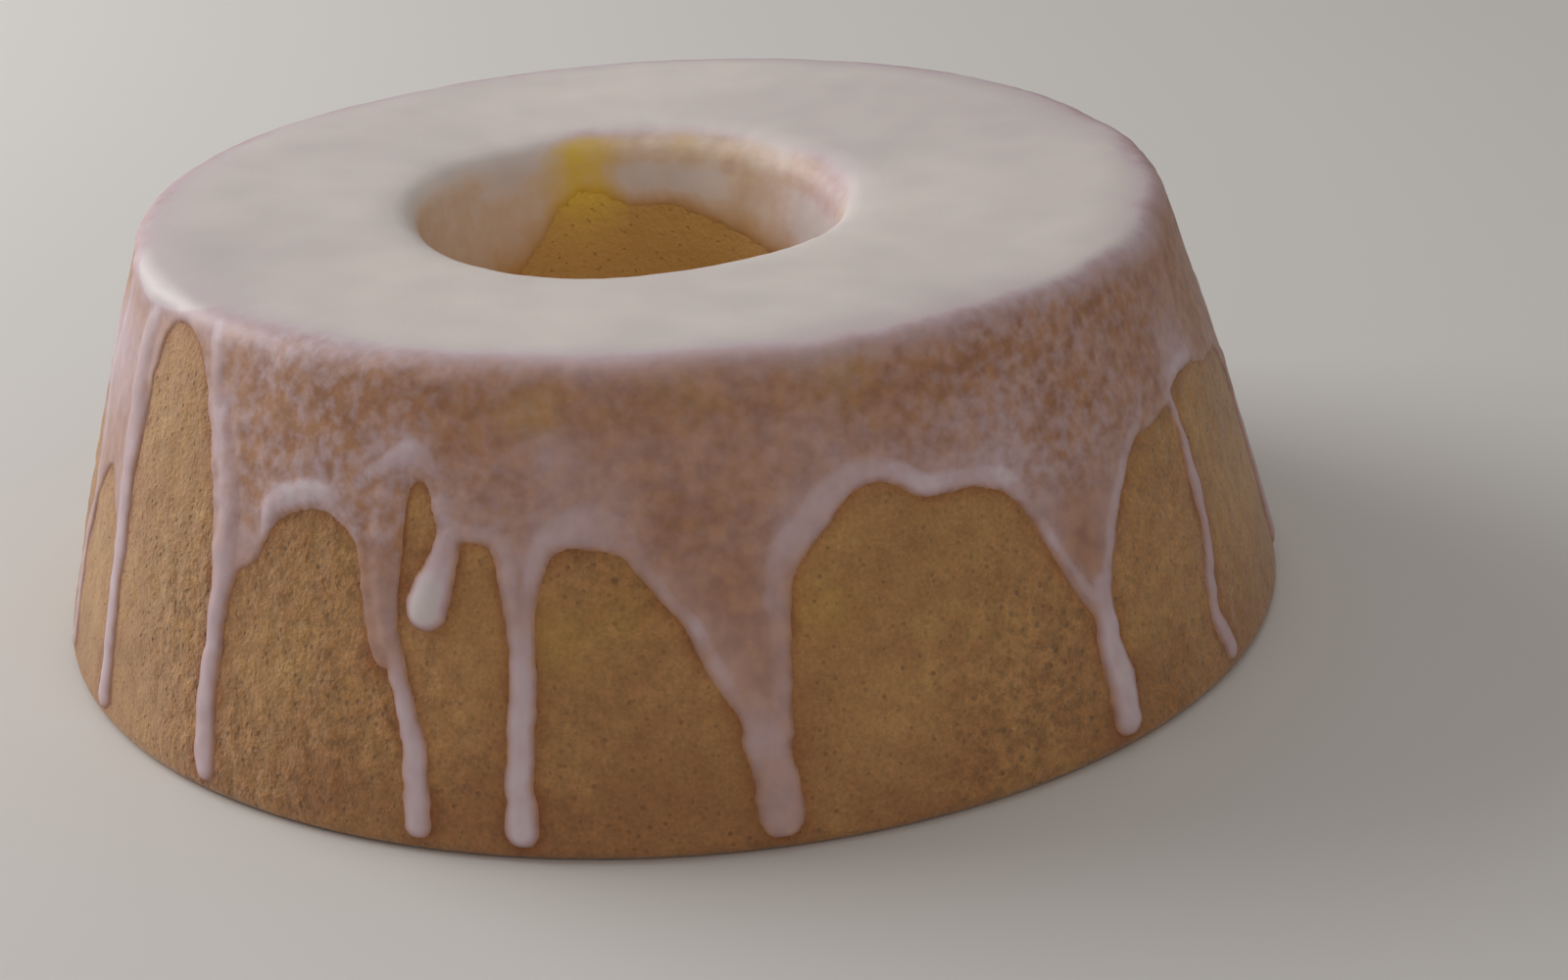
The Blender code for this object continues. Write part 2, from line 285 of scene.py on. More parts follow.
@dataclass(frozen=True)
class RingForm:
    """The ring's turned section, and the uneven way in which the baked ring has settled.

    A place on the section is its `path`: the length along it from the foot of the
    hole's wall, up that wall, over the top, down the side and back underneath.
    A share is how much of a radius or a height an unevenness takes, and a turn is
    the angle, in radians, by which it is turned.
    """

    base_radius: float = 121.0
    top_radius: float = 98.0
    height: float = 79.0
    hole_top_radius: float = 42.5
    hole_base_radius: float = 31.0
    rim_round: float = 4.5
    hole_round: float = 4.5
    base_round: float = 2.2
    hole_base_round: float = 2.0
    side_bulge: float = 1.0
    oval_share: float = 0.004
    oval_turn: float = 0.7
    lobe_share: float = 0.003
    lobe_turn: float = -0.4
    lobe_at_base: float = 0.4
    top_tilt_share: float = 0.006
    top_tilt_turn: float = -2.3
    top_wave_share: float = 0.005
    top_wave_turn: float = 1.1
    hole_shift: tuple[float, float] = (-4.5, -3.5)
    hole_oval_share: float = 0.03
    hole_oval_turn: float = 0.8
    hole_dip_share: float = 0.010
    side_pieces: int = 48

    def __post_init__(self) -> None:
        """Works out the section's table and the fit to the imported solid's box."""
        hole_base = (self.hole_base_radius, 0.0)
        hole_top = (self.hole_top_radius, self.height)
        rim = (self.top_radius, self.height)
        base = (self.base_radius, 0.0)
        arcs = (
            Fillet(hole_base, hole_top, rim, self.hole_round).points(),
            Fillet(hole_top, rim, base, self.rim_round).points(),
            Fillet(rim, base, hole_base, self.base_round).points(),
            Fillet(base, hole_base, hole_top, self.hole_base_round).points(),
        )
        at_hole, at_rim, at_base, at_foot = arcs
        points = [
            at_foot[-1], *at_hole, *at_rim, *self.bulged(at_rim[-1], at_base[0]), *at_base, *at_foot,
        ]
        table = np.array(points)
        steps = np.diff(table, axis=0)
        lengths = np.concatenate(([0.0], np.cumsum(np.hypot(*steps.T))))
        outwards = np.stack((-steps[:, 1], steps[:, 0]), axis=1)
        outwards /= np.linalg.norm(outwards, axis=1)[:, None]
        normals = np.concatenate((outwards[:1], outwards[:-1] + outwards[1:], outwards[-1:]))
        normals /= np.linalg.norm(normals, axis=1)[:, None]
        count = len(at_hole)
        keep = object.__setattr__
        keep(self, "table", table)
        keep(self, "lengths", lengths)
        keep(self, "normals", normals)
        keep(self, "hole_arc", (lengths[1], lengths[count]))
        keep(self, "rim_arc", (lengths[count + 1], lengths[2 * count]))
        side_end = 2 * count + self.side_pieces
        keep(self, "base_arc", (lengths[side_end], lengths[side_end + count - 1]))
        keep(self, "foot_arc", (lengths[-count], lengths[-1]))
        keep(self, "fit", (1.0, 0.0))
        self.fit_to(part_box("cake"))

    def bulged(self, start: np.ndarray, end: np.ndarray) -> list[np.ndarray]:
        """The side between its two arcs, bowed outwards.

        Args:
            start: Its upper end, (radius, height).
            end: Its lower end.

        Returns:
            The points between the ends.
        """
        along = end - start
        outwards = np.array((-along[1], along[0])) / np.linalg.norm(along)
        shares = np.arange(1, self.side_pieces) / self.side_pieces
        return [
            start + along * share + outwards * self.side_bulge * math.sin(math.pi * share)
            for share in shares
        ]

    def fit_to(self, box: tuple[Vector, Vector]) -> None:
        """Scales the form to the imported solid's box.

        Args:
            box: The solid's lowest and highest corners, in metres.
        """
        azimuths, paths = np.meshgrid(np.linspace(0.0, TURN, 361), self.lengths)
        flat = self.place(azimuths.ravel(), paths.ravel(), 0.0)
        low, high = flat.min(axis=0), flat.max(axis=0)
        goal_low, goal_high = (np.array(corner) / MM for corner in box)
        scale = (goal_high - goal_low) / (high - low)
        object.__setattr__(self, "fit", (scale, goal_low - low * scale))

    def path_at(self, height: float | np.ndarray) -> float | np.ndarray:
        """The path at which the side, or the rim above it, is at a height above the base."""
        side = (self.lengths >= self.rim_arc[0]) & (self.lengths <= self.base_arc[1])
        return np.interp(-np.asarray(height), -self.table[side, 1], self.lengths[side])

    def path_at_hole_top(self) -> float:
        """The path at which the hole's wall would meet the top, but for the rounded lip."""
        start, end = self.hole_arc
        return (start + end) / 2.0

    def radius_at(self, path: np.ndarray) -> np.ndarray:
        """The section's radius at each path."""
        return np.interp(path, self.lengths, self.table[:, 0])

    def height_at(self, path: np.ndarray) -> np.ndarray:
        """The section's height at each path."""
        return np.interp(path, self.lengths, self.table[:, 1])

    def place(self, azimuth: np.ndarray, path: np.ndarray, off: float | np.ndarray) -> np.ndarray:
        """Where points of the turned section lie on the settled ring.

        Args:
            azimuth: In degrees.
            path: Along the section.
            off: How far out from the crust.

        Returns:
            One row of x, y and z for each point.
        """
        normal_r, normal_z = (np.interp(path, self.lengths, n) for n in self.normals.T)
        radius = self.radius_at(path) + normal_r * off
        height = self.height_at(path) + normal_z * off
        angle = np.radians(azimuth)
        share_up = height / self.height
        reach = (radius - self.hole_top_radius) / (self.top_radius - self.hole_top_radius)
        near_hole = 1.0 - smooth_step(reach)
        lobes = self.lobe_share * (self.lobe_at_base + (1.0 - self.lobe_at_base) * share_up)
        spread = (
            1.0
            + self.oval_share * np.cos(2.0 * angle - self.oval_turn)
            + lobes * np.cos(3.0 * angle - self.lobe_turn)
            + self.hole_oval_share * np.cos(2.0 * angle - self.hole_oval_turn) * near_hole
        )
        rise = (
            1.0
            + self.top_tilt_share * np.cos(angle - self.top_tilt_turn)
            + self.top_wave_share * np.cos(3.0 * angle - self.top_wave_turn)
            - self.hole_dip_share * near_hole
        )
        settled = np.stack(
            (
                radius * np.sin(angle) * spread + self.hole_shift[0] * near_hole,
                -radius * np.cos(angle) * spread + self.hole_shift[1] * near_hole, height * rise,
            ),
            axis=1,
        )
        scale, shift = self.fit
        return settled * scale + shift

    def turned(self, paths: Sequence[float], columns: int, fine_from: float) -> bmesh.types.BMesh:
        """Turns a line of the section round the axis.

        Args:
            paths: The rows' places on the section. A closed line ends where it began.
            columns: How many steps a turn has.
            fine_from: Rows with a path past this one, down to the base, have twice the columns.

        Returns:
            The open or closed surface, with each vertex's path in its own layer.
        """
        closed = paths[-1] >= self.lengths[-1]
        rows = list(paths[:-1] if closed else paths)
        shape = bmesh.new()
        layer = shape.verts.layers.float.new(Layer.PATH.value)
        line = []
        for path in rows:
            vertex = shape.verts.new((float(self.radius_at(path)), 0.0, float(self.height_at(path))))
            vertex[layer] = path
            line.append(vertex)
        ends = [*line, line[0]] if closed else line
        edges = [shape.edges.new(pair) for pair in pairwise(ends)]
        bmesh.ops.spin(
            shape, geom=[*line, *edges], cent=(0.0, 0.0, 0.0), axis=(0.0, 0.0, 1.0), angle=math.tau,
            steps=columns, use_merge=True,
        )
        level = [
            edge
            for edge in shape.edges
            if abs(edge.verts[0][layer] - edge.verts[1][layer]) < 1e-4
            and fine_from <= edge.verts[0][layer] <= self.base_arc[1] + 1e-4
        ]
        bmesh.ops.subdivide_edges(shape, edges=level, cuts=1, use_grid_fill=True)
        return shape

    def spots(self, shape: bmesh.types.BMesh) -> Spots:
        """Reads where each vertex is on the smooth crust.

        Args:
            shape: A surface made by `turned`.

        Returns:
            The vertices' places.
        """
        layer = shape.verts.layers.float[Layer.PATH.value]
        azimuth = np.degrees([math.atan2(v.co.x, -v.co.y) for v in shape.verts])
        path = np.array([v[layer] for v in shape.verts])
        points = self.place(azimuth, path, 0.0)
        return Spots(azimuth, path, self.radius_at(path), self.height_at(path), points)


# ------------------------------------------------------------------ icing's flow


@dataclass(frozen=True)
class Place:
    """A point that a stream of icing runs through, and what it is like there."""

    azimuth: float
    height: float
    half_width: float
    whiteness: float


@dataclass(frozen=True)
class Stream:
    """A run of icing down or along the side: a drip, a bead, a lump or a thin trickle.

    It stands off the crust by `lift_share` of its half-width.
    """

    places: tuple[Place, ...]
    lift_share: float = 0.5
    pieces: int = 5

    def knots(self, form: RingForm) -> np.ndarray:
        """The stream's centre line.

        Args:
            form: The ring that it runs down.

        Returns:
            Rows of azimuth, path, half-width and whiteness, close together on a
            smooth curve through the places.
        """
        rough = np.array(
            [(p.azimuth, float(form.path_at(p.height)), p.half_width, p.whiteness) for p in self.places]
        )
        padded = np.concatenate((rough[:1], rough, rough[-1:]))
        rows = []
        for i in range(len(rough) - 1):
            a, b, c, d = padded[i : i + 4]
            for t in np.arange(self.pieces) / self.pieces:
                bend = (2.0 * a - 5.0 * b + 4.0 * c - d) * t * t
                twist = (3.0 * b - a - 3.0 * c + d) * t**3
                rows.append(0.5 * (2.0 * b + (c - a) * t + bend + twist))
        return np.array([*rows, rough[-1]])


@dataclass(frozen=True)
class Arch:
    """The film's edge from one drip to the next. It is highest at `lean` of the way."""

    lean: float
    height: float
    left_power: float = 2.6
    right_power: float = 2.6


@dataclass(frozen=True)
class Drip:
    """A main drip: azimuths at its head and foot in degrees, and its heights and width."""

    azimuth: float
    foot_azimuth: float
    junction: float
    foot: float
    width: float


@dataclass(frozen=True)
class Patch:
    """A round place where something is stronger, or weaker if `change` is below 0."""

    azimuth: float
    height: float
    radius: float
    change: float
    in_hole: bool = False

    def path(self, form: RingForm) -> float:
        """The patch's place on the section."""
        in_hole = form.path_at_hole_top() - (form.height - self.height)
        return float(in_hole if self.in_hole else form.path_at(self.height))


def run_of(*rows: tuple[float, float, float, float], lift_share: float = 0.5) -> Stream:
    """A stream from rows of azimuth, height, half-width and whiteness, head to foot."""
    return Stream(tuple(Place(*row) for row in rows), lift_share)


# The film's lower edge on the side that shows: azimuth and height, left to right.
FRONT_EDGE = (
    (-84.0, 42.0), (-80.6, 39.0), (-79.0, 34.0), (-77.2, 32.0), (-75.8, 36.0), (-73.5, 42.5),
    (-71.5, 44.0), (-70.0, 42.5), (-68.6, 39.0), (-66.8, 34.0), (-65.4, 36.0), (-64.6, 52.0),
    (-64.0, 64.0), (-62.6, 72.5), (-60.6, 76.0), (-58.0, 76.6), (-56.0, 76.0), (-53.8, 73.5),
    (-52.2, 69.0), (-50.4, 61.5), (-48.6, 52.0), (-47.2, 41.0), (-46.3, 35.0), (-45.2, 38.0),
    (-44.0, 40.8), (-42.2, 42.0), (-40.8, 44.8), (-39.9, 50.0), (-38.0, 53.0), (-35.0, 54.8),
    (-33.0, 54.5), (-31.0, 52.5), (-29.8, 50.0), (-29.0, 45.0), (-28.5, 38.0), (-27.6, 32.0),
    (-26.2, 30.0), (-25.3, 33.0), (-25.1, 45.0), (-25.1, 57.0), (-24.6, 60.3), (-23.7, 61.4),
    (-22.8, 61.0), (-22.2, 58.0), (-21.8, 54.5), (-20.8, 52.5), (-19.2, 52.3), (-17.3, 52.2),
    (-16.2, 51.2), (-15.6, 46.0), (-15.1, 41.0), (-14.4, 37.0), (-13.6, 35.5), (-12.8, 38.5),
    (-12.2, 44.5), (-11.8, 47.0), (-11.2, 50.2), (-9.6, 52.2), (-6.6, 52.1), (-4.3, 50.2), (-2.9, 46.5),
    (-1.7, 44.0), (-0.5, 41.3), (0.7, 38.0), (1.7, 32.5), (2.6, 28.5), (4.3, 24.0), (6.0, 20.5),
    (7.6, 20.5), (8.7, 24.0), (9.2, 34.0), (9.5, 40.0), (10.0, 44.4), (11.1, 47.9), (12.8, 51.4),
    (14.8, 55.2), (17.0, 57.8), (20.0, 57.9), (22.3, 54.6), (25.0, 53.2), (28.5, 53.6), (31.0, 52.2),
    (33.0, 48.5), (34.7, 42.5), (35.5, 38.0), (36.2, 34.5), (37.0, 30.5), (38.2, 27.0), (39.8, 24.5),
    (41.0, 26.0), (41.8, 30.0), (42.7, 34.5), (44.4, 39.5), (46.6, 44.5), (48.6, 48.0), (50.6, 49.8),
    (53.0, 50.2), (56.0, 50.8), (58.0, 51.4), (60.0, 53.2), (62.5, 54.4), (66.5, 53.6), (70.0, 51.5),
    (75.0, 50.0), (84.0, 46.0),
)

# What runs down that side, stroke by stroke: azimuth, height, half-width, whiteness.
FRONT_STREAMS = (
    # Drip at the left edge.
    run_of(
        (-65.2, 78.9, 1.2, 0.80), (-65.8, 75.0, 2.8, 0.62), (-66.8, 70.0, 3.6, 0.50),
        (-66.6, 60.0, 3.8, 0.46), (-65.8, 50.0, 3.4, 0.50), (-65.0, 36.0, 2.8, 0.56),
        (-64.8, 25.0, 2.6, 0.60), (-64.6, 12.0, 2.8, 0.64), (-64.6, 5.2, 2.8, 0.60), lift_share=0.30,
    ),
    run_of(
        (-79.2, 77.0, 1.2, 0.46), (-77.9, 68.0, 2.5, 0.44), (-78.7, 57.0, 1.7, 0.34),
        (-77.5, 45.0, 2.0, 0.42), (-77.4, 35.0, 1.8, 0.40), (-77.9, 24.0, 1.9, 0.42),
        (-77.6, 14.0, 2.1, 0.46), (-77.8, 6.0, 2.3, 0.44), lift_share=0.24,
    ),
    # Second drip, mottled above and whiter below.
    run_of(
        (-52.2, 78.4, 1.2, 0.46), (-51.2, 75.0, 2.4, 0.38), (-49.8, 69.0, 2.8, 0.34),
        (-47.8, 61.0, 3.1, 0.38), (-45.9, 52.0, 3.4, 0.36), (-45.5, 42.0, 3.0, 0.42),
        (-45.8, 32.0, 2.5, 0.58), (-46.2, 20.0, 2.4, 0.60), (-45.9, 10.0, 2.7, 0.62),
        (-45.6, 5.2, 2.8, 0.58), lift_share=0.30,
    ),
    # Thick bead over the arch on its right.
    run_of(
        (-40.7, 48.5, 1.0, 0.40), (-40.2, 51.8, 2.2, 0.50), (-39.0, 54.4, 2.9, 0.66),
        (-37.2, 56.0, 2.7, 0.72), (-35.0, 57.2, 2.6, 0.76), (-33.0, 56.8, 2.1, 0.52),
        (-31.3, 55.0, 1.5, 0.26), (-29.8, 52.2, 1.1, 0.16), lift_share=0.32,
    ),
    # Third drip: a faint sheet above, a bright stream below.
    run_of(
        (-27.2, 62.0, 2.2, 0.12), (-27.0, 52.0, 2.6, 0.16), (-26.8, 43.0, 2.6, 0.14),
        (-26.2, 36.5, 2.0, 0.12), (-25.3, 32.5, 1.6, 0.20), (-24.7, 28.5, 1.8, 0.45),
        (-24.0, 24.5, 2.0, 0.60), (-23.2, 17.5, 2.4, 0.62), (-22.9, 9.5, 2.6, 0.64),
        (-22.8, 5.0, 2.6, 0.60), lift_share=0.28,
    ),
    # Small bright bead and its right leg.
    run_of(
        (-28.8, 61.6, 1.2, 0.34), (-27.5, 63.0, 1.8, 0.44), (-26.0, 64.8, 2.3, 0.58),
        (-24.5, 66.0, 2.6, 0.64), (-23.2, 65.0, 2.0, 0.48), (-22.0, 63.0, 1.2, 0.20),
        (-21.3, 61.0, 1.3, 0.24), (-21.0, 58.0, 1.6, 0.30), (-20.6, 55.5, 1.4, 0.34), lift_share=0.30,
    ),
    # The short drip that ends in a round blob.
    run_of(
        (-20.0, 54.5, 1.6, 0.36), (-20.5, 51.6, 2.0, 0.50), (-21.3, 47.5, 2.8, 0.68),
        (-22.1, 43.6, 3.6, 0.90), (-22.4, 41.0, 3.8, 0.94), lift_share=0.42,
    ),
    # Fourth drip, fed by two legs, and the band on its left.
    run_of(
        (-20.0, 53.8, 1.3, 0.28), (-18.0, 54.0, 1.6, 0.28), (-16.0, 53.4, 1.6, 0.30),
        (-15.0, 50.6, 1.6, 0.34), (-14.7, 47.5, 1.6, 0.32), (-14.3, 44.0, 1.7, 0.32),
        (-13.8, 40.0, 2.0, 0.32), (-13.6, 34.0, 2.2, 0.52), (-13.7, 25.0, 2.4, 0.68),
        (-13.9, 15.0, 2.4, 0.70), (-13.8, 7.0, 2.8, 0.74), (-13.7, 5.3, 2.9, 0.74), lift_share=0.34,
    ),
    run_of(
        (-11.4, 53.4, 1.6, 0.42), (-12.4, 50.0, 1.5, 0.36), (-12.8, 46.0, 1.4, 0.32),
        (-13.5, 41.5, 1.5, 0.30), lift_share=0.26,
    ),
    # Band over the wide arch, thinning down its long right leg.
    run_of(
        (-11.8, 53.2, 1.8, 0.32), (-10.0, 54.8, 3.2, 0.34), (-8.0, 55.4, 3.8, 0.32),
        (-5.5, 54.6, 3.4, 0.26), (-3.8, 52.0, 2.0, 0.20), (-2.7, 48.8, 1.2, 0.14), lift_share=0.12,
    ),
    run_of(
        (-2.9, 48.6, 1.0, 0.14), (-1.3, 44.8, 1.2, 0.28), (0.2, 41.4, 1.0, 0.14),
        (1.6, 38.2, 1.5, 0.46), (2.4, 34.5, 1.1, 0.16), (3.0, 31.4, 1.4, 0.38), (4.1, 27.6, 1.1, 0.16),
        (5.2, 24.0, 1.1, 0.16), lift_share=0.16,
    ),
    # Fifth drip, the broad one.
    run_of(
        (5.9, 26.5, 1.8, 0.10), (6.1, 22.5, 3.0, 0.20), (6.4, 18.5, 3.6, 0.30), (7.0, 13.0, 3.9, 0.16),
        (7.2, 6.0, 3.8, 0.20), lift_share=0.18,
    ),
    # Its right leg, which turns into the bead over the widest arch.
    run_of(
        (7.9, 20.0, 1.6, 0.10), (7.9, 26.0, 1.6, 0.10), (8.1, 32.0, 1.7, 0.12), (8.1, 38.0, 1.9, 0.16),
        (8.3, 43.0, 2.3, 0.30), (9.0, 47.2, 2.8, 0.36), (10.7, 51.2, 3.2, 0.42),
        (13.1, 55.1, 3.2, 0.42), (15.6, 58.6, 2.8, 0.40), (18.4, 59.8, 2.4, 0.42),
        (21.0, 58.4, 2.1, 0.56), (23.3, 55.6, 2.2, 0.68), (26.0, 55.2, 1.9, 0.64),
        (29.0, 54.6, 1.9, 0.48), (31.8, 53.0, 2.3, 0.60), (33.4, 50.4, 1.5, 0.22), lift_share=0.22,
    ),
    run_of(
        (33.2, 49.8, 1.2, 0.26), (35.0, 44.4, 0.9, 0.22), (35.8, 40.4, 1.2, 0.56),
        (36.6, 37.0, 0.9, 0.30), (38.2, 31.5, 1.3, 0.42), (39.4, 28.4, 1.6, 0.46), lift_share=0.26,
    ),
    # Sixth drip, and the stream that joins it from the right.
    run_of(
        (40.4, 30.0, 2.4, 0.52), (40.3, 24.0, 2.9, 0.68), (40.2, 19.5, 3.1, 0.74),
        (40.6, 12.0, 3.5, 0.72), (40.4, 5.9, 3.5, 0.70), lift_share=0.32,
    ),
    run_of(
        (53.4, 57.0, 0.8, 0.20), (51.6, 53.2, 1.2, 0.30), (48.2, 49.0, 1.4, 0.38),
        (46.4, 45.5, 1.5, 0.52), (43.9, 40.0, 1.3, 0.42), (42.4, 35.5, 1.5, 0.46),
        (41.2, 31.0, 1.8, 0.50), lift_share=0.28,
    ),
    run_of(
        (57.6, 52.0, 0.8, 0.20), (59.4, 54.6, 1.1, 0.32), (62.0, 56.4, 1.4, 0.42),
        (66.0, 56.0, 1.6, 0.40), lift_share=0.2,
    ),
    # Last drip, a thin line.
    run_of(
        (58.6, 52.4, 1.1, 0.30), (58.8, 47.0, 1.3, 0.40), (58.8, 40.0, 1.7, 0.46),
        (58.5, 33.0, 1.7, 0.46), (58.5, 28.5, 1.6, 0.46), (57.5, 23.0, 1.7, 0.48),
        (56.5, 17.0, 1.8, 0.52), (56.4, 12.0, 1.9, 0.54), (57.4, 6.0, 2.2, 0.50),
        (57.5, 4.7, 2.2, 0.50), lift_share=0.30,
    ),
    # The roll of icing along the left of the rim.
    run_of(
        (-76.0, 78.6, 1.6, 0.84), (-71.0, 78.0, 2.6, 0.88), (-66.0, 78.0, 3.0, 0.88),
        (-60.5, 78.4, 2.2, 0.84), (-56.5, 78.9, 1.2, 0.80), lift_share=0.30,
    ),
)

# Azimuth, height and radius of places on the side where the film is thicker or thinner.
PATCHES = (
    Patch(-76.0, 62.0, 13.0, 0.40), Patch(-47.0, 66.0, 6.0, 0.12), Patch(-36.0, 68.0, 10.0, 0.06),
    Patch(-42.5, 46.0, 4.0, 0.12), Patch(-26.8, 50.0, 5.0, -0.04), Patch(-21.8, 66.5, 2.4, -0.30),
    Patch(-13.4, 50.0, 3.0, 0.10), Patch(-11.0, 66.8, 4.4, 0.22), Patch(-10.5, 74.6, 4.0, -0.10),
    Patch(-42.1, 74.6, 3.2, 0.18), Patch(-6.5, 56.5, 8.5, 0.10), Patch(2.0, 56.0, 13.0, -0.07),
    Patch(6.0, 44.0, 4.5, -0.08), Patch(14.0, 66.0, 8.0, 0.06), Patch(36.0, 64.0, 18.0, 0.07),
    Patch(32.0, 57.0, 8.0, 0.16), Patch(37.0, 50.0, 5.0, 0.14), Patch(38.6, 37.0, 5.0, -0.12),
    Patch(44.0, 53.0, 6.0, 0.08), Patch(62.0, 58.0, 8.0, 0.34),
)

# Where the crust itself is more golden: in the hole, and beside a few arches.
GOLDEN_PATCHES = (
    Patch(-167.5, 73.5, 9.0, 1.20, in_hole=True), Patch(164.0, 81.5, 3.5, 0.60, in_hole=True),
    Patch(12.5, 39.0, 5.0, 0.14), Patch(-4.5, 41.0, 6.0, 0.08), Patch(-10.6, 37.0, 5.0, 0.12),
    Patch(-12.5, 73.0, 4.5, 0.16), Patch(2.0, 75.5, 5.0, 0.08), Patch(17.0, 76.0, 5.5, 0.14),
)


@dataclass(frozen=True)
class FarSide:
    """The rule for the side that faces away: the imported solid's own draws.

    Where a field is two numbers, a draw is made between them.
    """

    seed: int = 7
    start: float = 84.0
    end: float = 277.0
    spacing: tuple[float, float] = (12.0, 21.0)
    reaching_share: float = 0.62
    foot: tuple[float, float] = (1.8, 3.0)
    hanging_foot: tuple[float, float] = (16.0, 34.0)
    slant: tuple[float, float] = (-2.0, 2.0)
    junction: tuple[float, float] = (30.0, 47.0)
    shortest: float = 9.0
    width: tuple[float, float] = (4.2, 7.8)
    lean: tuple[float, float] = (0.35, 0.65)
    crest: tuple[float, float] = (52.0, 64.0)
    power: tuple[float, float] = (2.0, 3.6)
    lowest_foot: float = 2.4
    hangs_above: float = 6.0
    drip_steps: int = 6
    drip_change: float = 0.10
    drip_wander: float = 0.5
    drip_white_change: float = 0.06
    drip_lift: float = 0.32
    head_rise: float = 12.0
    head_swell: float = 0.72
    foot_swell: float = 1.02
    blob_swell: float = 1.22
    head_white: float = 0.12
    foot_white: tuple[float, float] = (0.40, 0.66)
    bead_steps: int = 9
    bead_lift: float = 0.26
    bead_white: tuple[float, float] = (0.16, 0.80)
    bead_fade: tuple[float, float] = (-0.7, 0.7)
    bead_start: tuple[float, float] = (0.03, 0.28)
    bead_end: tuple[float, float] = (0.72, 0.97)
    bead_at_ends: float = 0.35
    bead_white_change: float = 0.10
    bead_width_change: tuple[float, float] = (0.85, 1.15)

    def edge(self) -> tuple[tuple[Drip, Arch], ...]:
        """The drips and arches, from the same draws as the solid's.

        Returns:
            Each far drip, and the arch that follows it.
        """
        rng = random.Random(self.seed)
        run = []
        azimuth = self.start
        while azimuth < self.end:
            reaches_base = rng.random() < self.reaching_share
            foot = rng.uniform(*(self.foot if reaches_base else self.hanging_foot))
            drip = Drip(
                azimuth, azimuth + rng.uniform(*self.slant),
                max(rng.uniform(*self.junction), foot + self.shortest), foot, rng.uniform(*self.width),
            )
            ends = (self.lean, self.crest, self.power, self.power)
            run.append((drip, Arch(*(rng.uniform(*pair) for pair in ends))))
            azimuth += rng.uniform(*self.spacing)
        return tuple(run)

    def whole_edge(self) -> tuple[tuple[Drip, Arch], ...]:
        """The far drips and arches, with the front's last drip before and its first after.

        Returns:
            Each drip, and the arch that follows it.
        """
        return (
            (Drip(59.5, 57.6, 48.0, 2.5, 3.6), Arch(0.50, 55.0)), *self.edge(),
            (Drip(294.0, 295.5, 60.0, 2.0, 7.0), Arch(0.50, 76.0)),
        )

    def drip_stream(self, rng: random.Random, drip: Drip) -> Stream:
        """One drip, thin and faint at its head, and fuller and whiter at its foot.

        Args:
            rng: Where its unevenness is drawn from.
            drip: The drip.

        Returns:
            Its stream.
        """
        half = drip.width / 2.0
        low = max(drip.foot, self.lowest_foot) + half
        top = drip.junction + self.head_rise
        at_foot = self.blob_swell if drip.foot > self.hangs_above else self.foot_swell
        bright = rng.uniform(*self.foot_white)
        rows = []
        for share in np.linspace(0.0, 1.0, self.drip_steps).tolist():
            change = rng.uniform(-self.drip_change, self.drip_change)
            swell = self.head_swell + change * (1.0 - share)
            swell += (at_foot - self.head_swell) * share**2
            azimuth = drip.azimuth + (drip.foot_azimuth - drip.azimuth) * share
            eased = float(smooth_step(np.array(share / 0.5)))
            white = self.head_white + (bright - self.head_white) * eased
            azimuth += rng.uniform(-self.drip_wander, self.drip_wander)
            height = top + (low - top) * share
            white += rng.uniform(-self.drip_white_change, self.drip_white_change)
            rows.append((azimuth, height, half * swell, white))
        return run_of(*rows, lift_share=self.drip_lift)

    def bead_stream(self, rng: random.Random, flow: "IcingFlow", start: float, end: float) -> Stream:
        """The bead along the film's edge from one drip to the next.

        Args:
            rng: Where its unevenness is drawn from.
            flow: The whole icing, which knows how high its film's edge is.
            start: Azimuth of the drip before it.
            end: Azimuth of the drip after it.

        Returns:
            Its stream, which stops short of both.
        """
        strength = rng.uniform(*self.bead_white)
        fade = rng.uniform(*self.bead_fade)
        first, last = rng.uniform(*self.bead_start), rng.uniform(*self.bead_end)
        rows = []
        for step in np.linspace(0.0, 1.0, self.bead_steps).tolist():
            share = first + (last - first) * step
            azimuth = start + (end - start) * share
            full = self.bead_at_ends + (1.0 - self.bead_at_ends) * math.sin(math.pi * step) ** 0.7
            white = strength * (1.0 + fade * (share - 0.5)) * full
            white += rng.uniform(-self.bead_white_change, self.bead_white_change)
            width = (1.0 + 2.0 * max(white, 0.0)) * (0.5 + 0.5 * full)
            width *= rng.uniform(*self.bead_width_change)
            height = float(flow.edge_height(np.array([azimuth]))[0]) + width * 0.7
            rows.append((azimuth, height, width, min(max(white, 0.10), 0.85)))
        return run_of(*rows, lift_share=self.bead_lift)

    def streams(self, flow: "IcingFlow") -> list[Stream]:
        """Drips and beads along the far edge.

        Args:
            flow: The whole icing.

        Returns:
            One stream for each drip, and one for the bead over each arch.
        """
        rng = random.Random(self.seed + 1)
        drips = [drip for drip, _ in self.edge()]
        ends = [*(drip.azimuth for drip in drips[1:]), self.end + 8.0]
        made = []
        for drip, end in zip(drips, ends, strict=True):
            made.append(self.drip_stream(rng, drip))
            made.append(self.bead_stream(rng, flow, drip.azimuth, end))
        return made


class HoleMark(NamedTuple):
    """How the icing ends in the hole at one azimuth.

    The coat and the film reach down to two depths. The film has one whiteness at the lip, and another
    about halfway down, where it has gathered or thinned. Both are partly painted light: they are set
    whiter to lift the hole's shade.
    """

    azimuth: float
    coat_depth: float
    film_depth: float
    at_lip: float
    halfway: float


